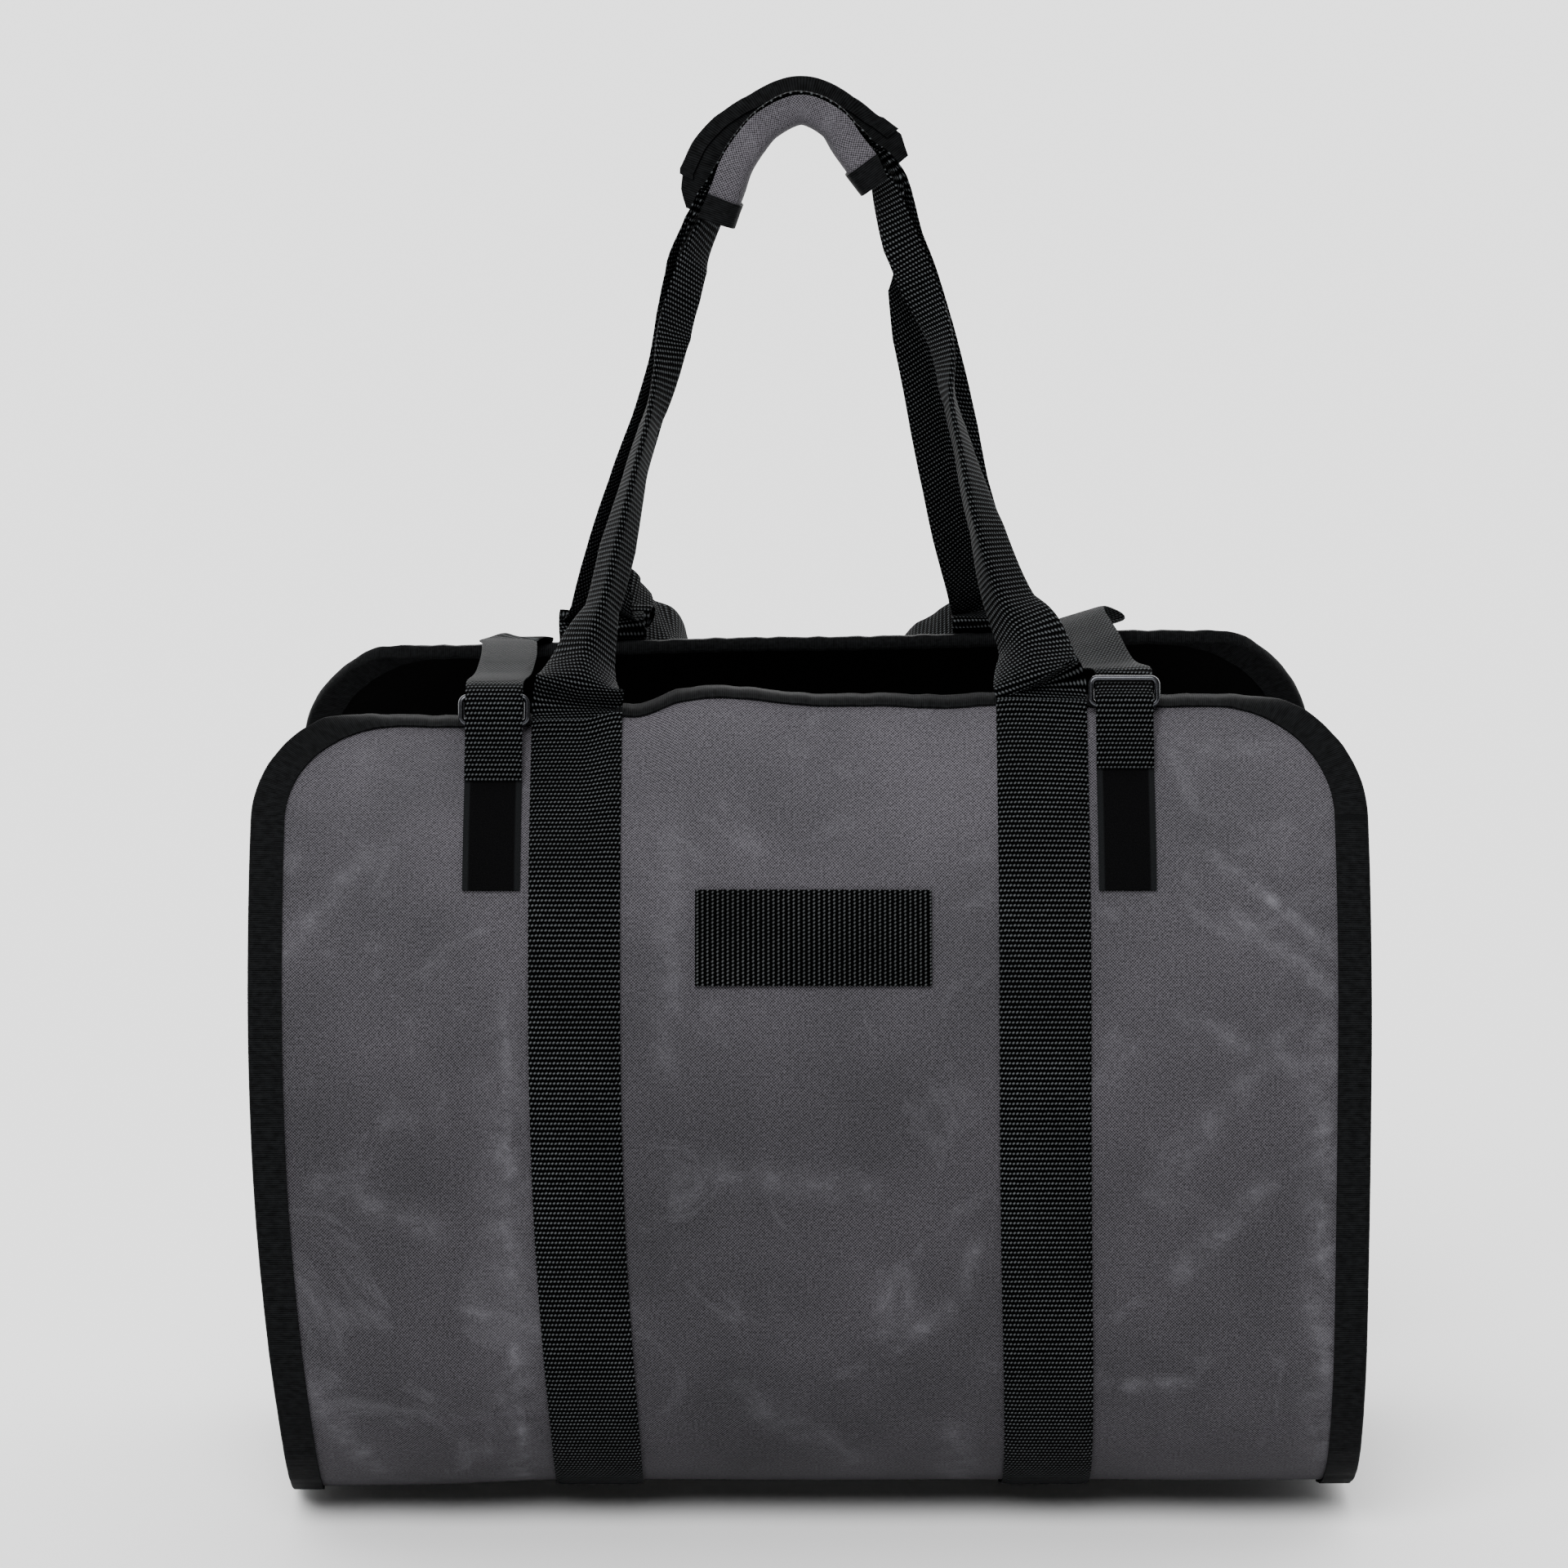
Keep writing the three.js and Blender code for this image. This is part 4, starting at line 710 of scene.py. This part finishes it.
def leg(rows, side):
    """Stations of one leg of a handle from its table."""
    return [
        (across * strap_spread, side * out * mouth_half,
         wall_height + (rear_extra_height if side > 0 else 0) * (1 - up) + up * handle_rise, inner, outer)
        for across, up, out, inner, outer in rows
    ]


def root(x, side):
    """Stations where a handle leaves the sewn strap at the top edge."""
    points = cloth(x, side * (half_length - root_drops), over_binding + web_thick / 2 + root_rises)
    return [(*point, 0, -180 * side) for point in points]


def in_grip(side):
    """Stations of a handle inside the grip: the stack lies flat, the rear handle above the front
    one, and turns to the front at both ends by the smooth step times the grip's twist."""
    shares = np.linspace(0, 1, 10)
    ending = step(1 - np.minimum(shares, 1 - shares) / twist_share)
    turn = ending * math.radians(grip_twist)
    fold = web_width / 4
    depth = side * (fold * np.sin(turn) - stack_step * np.cos(turn)) - twist_drop * ending
    points = along_grip(shares, grip_line) + depth[:, None] * along_grip(shares, grip_inside)
    points[:, 1] = side * (fold * np.cos(turn) + stack_step * np.sin(turn))
    middle, half = -90 * side - np.degrees(turn), grip_fold * side
    return [(*point, angle + half, angle - half) for point, angle in zip(points, middle)]


for name, side, left, right in (
    ("front_handle", -1, front_leg_left, front_leg_right), ("rear_handle", 1, rear_leg_left, rear_leg_right)
):
    stations = [
        *root(-strap_spread, side), *leg(left, side), *in_grip(side), *leg(right, side)[::-1],
        *root(strap_spread, side)[::-1],
    ]
    handle = folded_strap(f"{name}_strap", stations, web_width, web_thick)
    dress(handle, carry_webbing, name)


# Rear sling. A second band of the same webbing, sewn on at the roots of the rear handle, which
# stands up beside both legs and hangs behind the rear wall.
sling_drops, sling_rises = np.array([45.6, 28.8]), np.array([0.2, 1.0])
sling_gap = 0.3
sling_turn_left, sling_turn_right = 6, 9
# Its rows: across, up and out, in shares of the straps' spread, the wall's height and the belly's
# depth, and its turn in degrees.
sling_rows = [
    (-0.93, -0.008, 0.66, -4), (-0.905, 0.025, 0.675, -30), (-0.86, 0.042, 0.74, -50),
    (-0.78, 0.022, 0.785, -58), (-0.7, 0.004, 0.82, -64), (-0.62, -0.012, 0.86, -72),
    (-0.57, -0.045, 0.9, -82), (-0.545, -0.12, 0.95, -90), (-0.5, -0.21, 1.1, -90),
    (-0.4, -0.29, 1.175, -90), (-0.2, -0.33, 1.195, -90), (0.0, -0.34, 1.2, -90),
    (0.16, -0.33, 1.195, -90), (0.3, -0.29, 1.175, -90), (0.36, -0.21, 1.1, -90),
    (0.385, -0.135, 0.96, -90), (0.415, -0.065, 0.89, -82), (0.5, -0.028, 0.84, -71),
    (0.6, -0.012, 0.815, -63), (0.7, 0.002, 0.79, -56), (0.78, 0.012, 0.755, -44),
    (0.83, 0.012, 0.685, -26), (0.852, -0.004, 0.665, -4),
]


def flat_strap(name, stations, width, thick, crossing=False, per_span=12):
    """Flat webbing along stations of point and turn about its own line. A crossing strap's width
    starts from the right-hand direction, any other's from the inside of its loop."""
    dense, (turn,) = along_stations(stations, per_span)
    tangent, back, inside = strap_frame(dense)
    if crossing:
        inside = unit(np.array([1.0, 0, 0]) - tangent * tangent[:, :1])
        back = np.cross(tangent, inside)
    wide = swung(turn, inside, back)
    normal = np.cross(wide, tangent)
    q = np.linspace(1, -1, 15)
    surface = dense[:, None] + width / 2 * q[None, :, None] * wide[:, None]
    off = thick / 2 * (edge_round(q)[None, :, None] * normal[:, None])
    return closed_piece(name, surface + off, surface - off, q * width / 2, run_along(dense)[:, None])


def sling_root(x, turn):
    """Stations where the sling lies over the rear strap's sewn end, turned to lie along it."""
    lifts = web_thick + sling_gap + web_thick / 2 + laid_gap + sling_rises
    points = cloth(x, half_length - sling_drops, lifts)
    return [(*points[0], turn / 2), (*points[1], turn)]


sling_free = [
    (across * strap_spread, out * belly_depth, wall_height + rear_extra_height + up * wall_height, turn)
    for across, up, out, turn in sling_rows
]
sling_start = sling_root(-strap_spread, sling_turn_left)
sling_end = sling_root(strap_spread, sling_turn_right)[::-1]
sling = flat_strap("rear_sling_strap", [*sling_start, *sling_free, *sling_end], web_width, web_thick)
dress(sling, carry_webbing, "rear_sling")


# Grip. A pad of the same canvas with a black inner face, wrapped from below round both handles and
# left open on top. Its rear flap stands up higher and flares towards its ends.
grip_channel = 23.2
grip_floor = 7.0
grip_lining_thick = 1.2
grip_canvas_off = grip_lining_thick + ply_gap
grip_canvas_thick = 1.5
grip_corner = 1.6
# The rear flap bends at a share of its height, and leans out there and at its top.
flap_bend, bend_lean, flap_lean = 0.45, 0.06, 0.3


def pad_surface(shares, distance):
    """The pad's section, a channel with rounded corners, moved outwards by a distance and carried
    along the grip's line. Each flap's height comes from the table."""
    at = np.interp(shares, grip_run, np.arange(len(grip_line)) / grip_span)
    near, far = (
        np.interp(at, np.arange(len(grip_rows)), [row[k] for row in grip_rows]) * grip_channel for k in (2, 3)
    )
    half, floor = grip_channel / 2 + 0 * near, -grip_floor + 0 * near
    bend, top = half + far * bend_lean, half + far * flap_lean
    rise = [near, floor + grip_corner, floor, floor, floor + grip_corner, far * flap_bend, far]
    deep = [-half, -half, -half + grip_corner, half - grip_corner, half, bend, top]
    section = smooth_line(np.stack([rise, deep], -1), 6)
    slope = unit(np.gradient(section, axis=0))
    section = (section + distance * np.stack([-slope[..., 1], slope[..., 0]], -1)).transpose(1, 0, 2)
    line, inside = along_grip(shares, grip_line), along_grip(shares, grip_inside)
    points = line[:, None] - inside[:, None] * section[..., :1]
    points[..., 1] = section[..., 1]
    return points


def pad_piece(name, shares, near_off, far_off, run_start=400):
    """A closed ply of the pad between two distances. Its run is counted from where the canvas has the paler
    tone of its painted top light."""
    outer, inner = pad_surface(shares, far_off), pad_surface(shares, near_off)
    along = run_start + shares[:, None] * grip_length
    return closed_piece(name, outer, inner, run_along(outer[len(outer) // 2]), along)


pad_shares = np.linspace(0, 1, 90)
grip_cloth = pad_piece("grip_pad_cloth", pad_shares, grip_canvas_off, grip_canvas_off + grip_canvas_thick)
dress(grip_cloth, canvas_material, "grip_canvas")
grip_inner = pad_piece("grip_pad_lining", pad_shares, 0, grip_lining_thick)
dress(grip_inner, tape_material, "grip_lining")
cuff_off = grip_canvas_off + grip_canvas_thick + ply_gap
grip_tape_thick = 0.9
cuff_share, right_cuff_start = 2 / 22, 20 / 22
for side, start in (("left", 0.0), ("right", right_cuff_start)):
    cuff_shares = np.linspace(start, start + cuff_share, 14)
    cuff = pad_piece(f"grip_cuff_tape_{side}", cuff_shares, cuff_off, cuff_off + grip_tape_thick)
    dress(cuff, tape_material, f"grip_cuff_{side}")

# The tape on the rear flap's edge stops short of both cuffs.
rim_width = 6.0
rim_inset = 0.01
rim_nose, rim_bulge = 0.4, 1.3
rim_length = 125
rim_face_half = 8
rim_shares = np.linspace(cuff_share + rim_inset, right_cuff_start - rim_inset, 70)


def rim_surface(spread):
    """Folded tape over the rear flap's upper edge: the pad's own section near its end, with a half
    round nose beyond it."""
    stack = grip_canvas_off + grip_canvas_thick
    inner_leg = pad_surface(rim_shares, -ply_gap - spread)
    outer_leg = pad_surface(rim_shares, stack + ply_gap + spread)
    up = unit(inner_leg[:, -1] - inner_leg[:, -2])
    out = outer_leg[:, -1] - inner_leg[:, -1]
    half = np.linalg.norm(out, axis=-1, keepdims=True) / 2
    out /= 2 * half
    middle = (inner_leg[:, -1] + outer_leg[:, -1]) / 2
    drops = np.linspace(rim_width, 0, 5)[:, None, None]
    start = middle - out * half - up * drops
    end = (middle + out * half - up * drops)[::-1]
    bend = np.linspace(0, math.pi, 9)[1:-1, None, None]
    nose = middle - out * half * np.cos(bend) + up * (rim_nose + spread) * np.sin(bend) * rim_bulge
    return np.concatenate([start, nose, end]).transpose(1, 0, 2)


rim_outer, rim_inner = rim_surface(grip_tape_thick), rim_surface(0.0)
rim_across = np.linspace(-rim_face_half, rim_face_half, rim_outer.shape[1])
rim = closed_piece("grip_rim_tape", rim_outer, rim_inner, rim_across, rim_shares[:, None] * rim_length)
dress(rim, tape_material, "grip_rim")


# Rings and their tabs. Rectangular rings of dark plated steel wire, each held by a folded tab of
# 22 mm webbing whose two ends are sewn to the front under the security strap.
security_places = {"left": -132.0, "right": 132.0}
security_width = 24.0
security_thick = 1.4
ring_wire = 2.6
ring_height = 11.0
ring_side = 0.5
ring_bend = 2.6
ring_lean = 0.22
wire_points, bend_points = 24, 9
eye_radius = ring_wire / 2 + 0.6 + security_thick / 2
eye_off = over_binding + 0.2 + security_thick / 2 + eye_radius + 0.5
eye_drop = 15.0
tab_width = 22.0
tab_length = 36.0
ring_up = np.array([0, ring_lean, 1.0]) / math.hypot(ring_lean, 1)
ring_out = np.array([0, 1.0, -ring_lean]) / math.hypot(ring_lean, 1)
# The tab's two laid ends: the drop below the top edge, and how far off the canvas it lies.
tab_under = [
    (tab_length, laid_gap), (30.0, laid_gap + 0.2), (23.4, over_binding + 0.2), (19.2, over_binding + 0.4),
]
tab_over = [(23.4, over_binding + 0.3), (30.0, laid_gap + 0.3), (tab_length - 1, laid_gap + 0.1)]


def eye_centre(x):
    """Middle of the ring's lower bar."""
    return cloth(x, -(half_length - eye_drop), eye_off)


# Plated steel wire: smooth, dark nickel, with sharp bright glints.
ring_material, tree = new_finish("dark_plated_steel")
ring_coordinates = node(tree, "TexCoord")
ring_noise = node(tree, "TexNoise", {
    "Vector": ring_coordinates.outputs["Object"], "Scale": 900.0, "Detail": 3.0,
})
ring_rough = node(tree, "MapRange", {"Value": ring_noise, "To Min": 0.16, "To Max": 0.34})
ring_shader = node(tree, "BsdfPrincipled", {
    "Base Color": "#3c3d40", "Metallic": 1.0, "Roughness": ring_rough,
})
node(tree, "OutputMaterial", {0: ring_shader})

tab_webbing = webbing_finish("nylon_tab_webbing", turned=False, edge=0.02)
for side, x in security_places.items():
    side_bend = security_width / 2 + ring_side + ring_wire / 2 - ring_bend
    top_bend = ring_height - ring_bend
    centres = [(side_bend, top_bend), (-side_bend, top_bend), (-side_bend, ring_bend), (side_bend, ring_bend)]
    angle = (np.linspace(0, math.pi / 2, bend_points) + np.arange(4)[:, None] * math.pi / 2).ravel()
    away = np.stack([np.cos(angle), np.sin(angle)], -1)
    path = np.repeat(centres, bend_points, axis=0) + ring_bend * away
    axes = np.array([(1, 0, 0), ring_up])
    centre = eye_centre(x)
    ring_line, ring_away = centre + path @ axes, away @ axes
    girth = np.linspace(0, 2 * math.pi, wire_points + 1)
    tube = ring_line[:, None] + ring_wire / 2 * (
        np.cos(girth)[None, :, None] * ring_away[:, None] + np.sin(girth)[None, :, None] * ring_out
    )
    grid = np.arange(len(path) * wire_points).reshape(len(path), wire_points)
    grid = np.concatenate([grid, grid[:1]])
    grid = np.concatenate([grid, grid[:, :1]], 1)
    ring_faces = np.stack([grid[:-1, :-1], grid[:-1, 1:], grid[1:, 1:], grid[1:, :-1]], -1).reshape(-1, 4)
    ring = new_piece(f"wire_ring_{side}", tube[:, :-1].reshape(-1, 3), ring_faces)
    dress(ring, ring_material, f"ring_{side}")

    # The tab comes up behind the bar, goes round it and comes down over its own first end.
    half = security_thick / 2
    eye_s = -(half_length - eye_drop)
    up = unit(cloth(x, eye_s - 2, eye_off) - cloth(x, eye_s + 2, eye_off))
    out = unit(cloth(x, eye_s, eye_off + 4) - centre)
    under = [cloth(x, -(half_length - drop), off + half) for drop, off in tab_under]
    round_bar = np.radians([-90, -45, 0, 45, 90, 125])[:, None]
    eye = centre + up * np.cos(round_bar) * eye_radius + out * np.sin(round_bar) * eye_radius
    over = [cloth(x, -(half_length - drop), off + half + security_thick + 0.3) for drop, off in tab_over]
    tab_stations = [(*point, 0) for point in [*under, *eye, *over]]
    tab = flat_strap(f"ring_tab_strap_{side}", tab_stations, tab_width, security_thick, True, per_span=8)
    dress(tab, tab_webbing, f"ring_tab_{side}")


# Security straps. Black 25 mm webbing sewn to the rear wall, carried over the mouth and down the
# front over the rings; the right one passes through its ring.

# Over the mouth: across in shares of the strap's place, out in shares of the depth, up in shares of
# the wall's height above it, and the turn in degrees.
security_over = {
    "left": [
        (-1.0, 0.47, 0.02, 0), (-0.99, 0.28, 0.027, 0), (-0.98, 0.0, 0.028, 0), (-0.985, -0.3, 0.024, 0),
    ],
    "right": [
        (0.97, 0.47, 0.043, 8), (0.905, 0.33, 0.062, 16), (0.89, 0.17, 0.066, 20), (0.92, -0.1, 0.055, 14),
        (0.955, -0.35, 0.04, 6),
    ],
}
# At the ring: a share of the ring's height, and how far behind and above that place the strap lies.
security_ringed = {
    "left": [(1, 8, 5.2), (1, 0.4, 3.6), (1, -4.4, -1.2), (0, -4.9, 3.4)],
    "right": [(1, 9, 2.2), (1, 3.7, -0.8), (1, -1.8, -4.8), (0, -4.6, 2.8)],
}
# On the walls: the drop below the top edge, and how far off the canvas the strap lies.
patch_thick = 1.4
tab_face = security_thick * 2 + 0.3
security_behind = [
    (43.2, laid_gap), (26.4, laid_gap + 0.2), (12.0, over_binding + 0.8), (3.6, over_binding + 1.6),
]
security_front = [
    (25.2, over_binding + 0.3 + tab_face), (30.6, laid_gap + 0.6 + tab_face),
    (tab_length, laid_gap + 0.4 + tab_face), (tab_length + 7, laid_gap + patch_thick + 0.3),
]
security_webbing = webbing_finish("nylon_strap_webbing", turned=False, edge=0.0102)
for side, x in security_places.items():
    half = security_thick / 2
    clear = half + 0.3
    behind = [(*cloth(x, half_length - drop, off + half), 0) for drop, off in security_behind]
    free = [
        (abs(across) * x, out * belly_depth, wall_height * (1 + rise), turn)
        for across, out, rise, turn in security_over[side]
    ]
    ringed = []
    for share, back, rise in security_ringed[side]:
        point = eye_centre(x) + share * ring_up * ring_height
        ringed.append((x, point[1] + back, point[2] + rise, 0))
    front = [(*cloth(x, -(half_length - drop), off + clear), 0) for drop, off in security_front]
    stations = [*behind, *free, *ringed, *front]
    strap = flat_strap(f"security_webbing_{side}", stations, security_width, security_thick, crossing=True)
    dress(strap, security_webbing, f"security_strap_{side}")


# Fastener patches. Loop tape sewn to the front under the straps' ends. Its face is a black fuzz of
# fine nylon loops, between two plain woven edges.
loop_width, loop_length = 24.0, 59
loop_face_half = 0.0092
loop_material, tree = new_finish("nylon_loop_tape")
loop_map, across, along = cloth_map(tree)
loop_noise = node(tree, "TexNoise", {"Vector": loop_map, "Scale": 1500.0, "Detail": 4.0, "Roughness": 0.7})
loop_off = node(tree, "Math", {0: across}, operation="ABSOLUTE")
loop_edge = node(tree, "MapRange", {"Value": loop_off, "From Min": loop_face_half, "From Max": 0.0100})
loop_pile = node(tree, "Mix", {0: loop_noise, 6: "#020202", 7: "#0c0c0d"}, data_type="RGBA")
loop_face = loop_pile.outputs[2]
loop_colour = node(tree, "Mix", {0: loop_edge, 6: loop_face, 7: "#141516"}, data_type="RGBA")
cloth_shader(tree, loop_colour.outputs[2], loop_noise, (0.9, 0.0006), 0.95, 1.5, gloss=0.02)
for side, x in security_places.items():
    top = -(half_length - tab_length - 1)
    patch = laid_strap(
        f"loop_tape_{side}", x, top, top + loop_length, loop_width, patch_thick,
        lift=lambda s: laid_gap + 0 * s, rows=40,
    )
    dress(patch, loop_material, f"loop_patch_{side}")


# Front patch. A plain rectangle of 40 mm webbing laid across the front with its ribs upright,
# sewn down along its edges with a double row at each end.
# Its rib tops take a darker grey painted highlight.
front_patch_webbing = webbing_finish("polypropylene_patch_webbing", turned=True, edge=0.0172, painted_glint="#464849")
patch_middle, patch_half_width = 1.6, 49
patch_drop, patch_height = 96, 40
patch_off, patch_half_thick = 1.5, 0.8
patch_top = -(half_length - patch_drop)
patch_x = np.linspace(patch_middle - patch_half_width, patch_middle + patch_half_width, 60)[None, :]
patch_s = np.linspace(patch_top, patch_top + patch_height, 30)[:, None]
off_x, off_s = patch_x - patch_middle, patch_s - patch_top - patch_height / 2
patch_half = patch_half_thick * edge_round(off_x / patch_half_width, power=60)
patch_half = patch_half * edge_round(off_s / (patch_height / 2), power=24)
front_patch = closed_piece(
    "front_patch_webbing", cloth(patch_x, patch_s, patch_off + patch_half),
    cloth(patch_x, patch_s, patch_off - patch_half), off_x, off_s,
)
dress(front_patch, front_patch_webbing, "front_patch")

# The pad's section carried along the grip, at the inner face of its canvas ply, in metres.
pad_rows = pad_surface(pad_shares, grip_canvas_off) / 1000
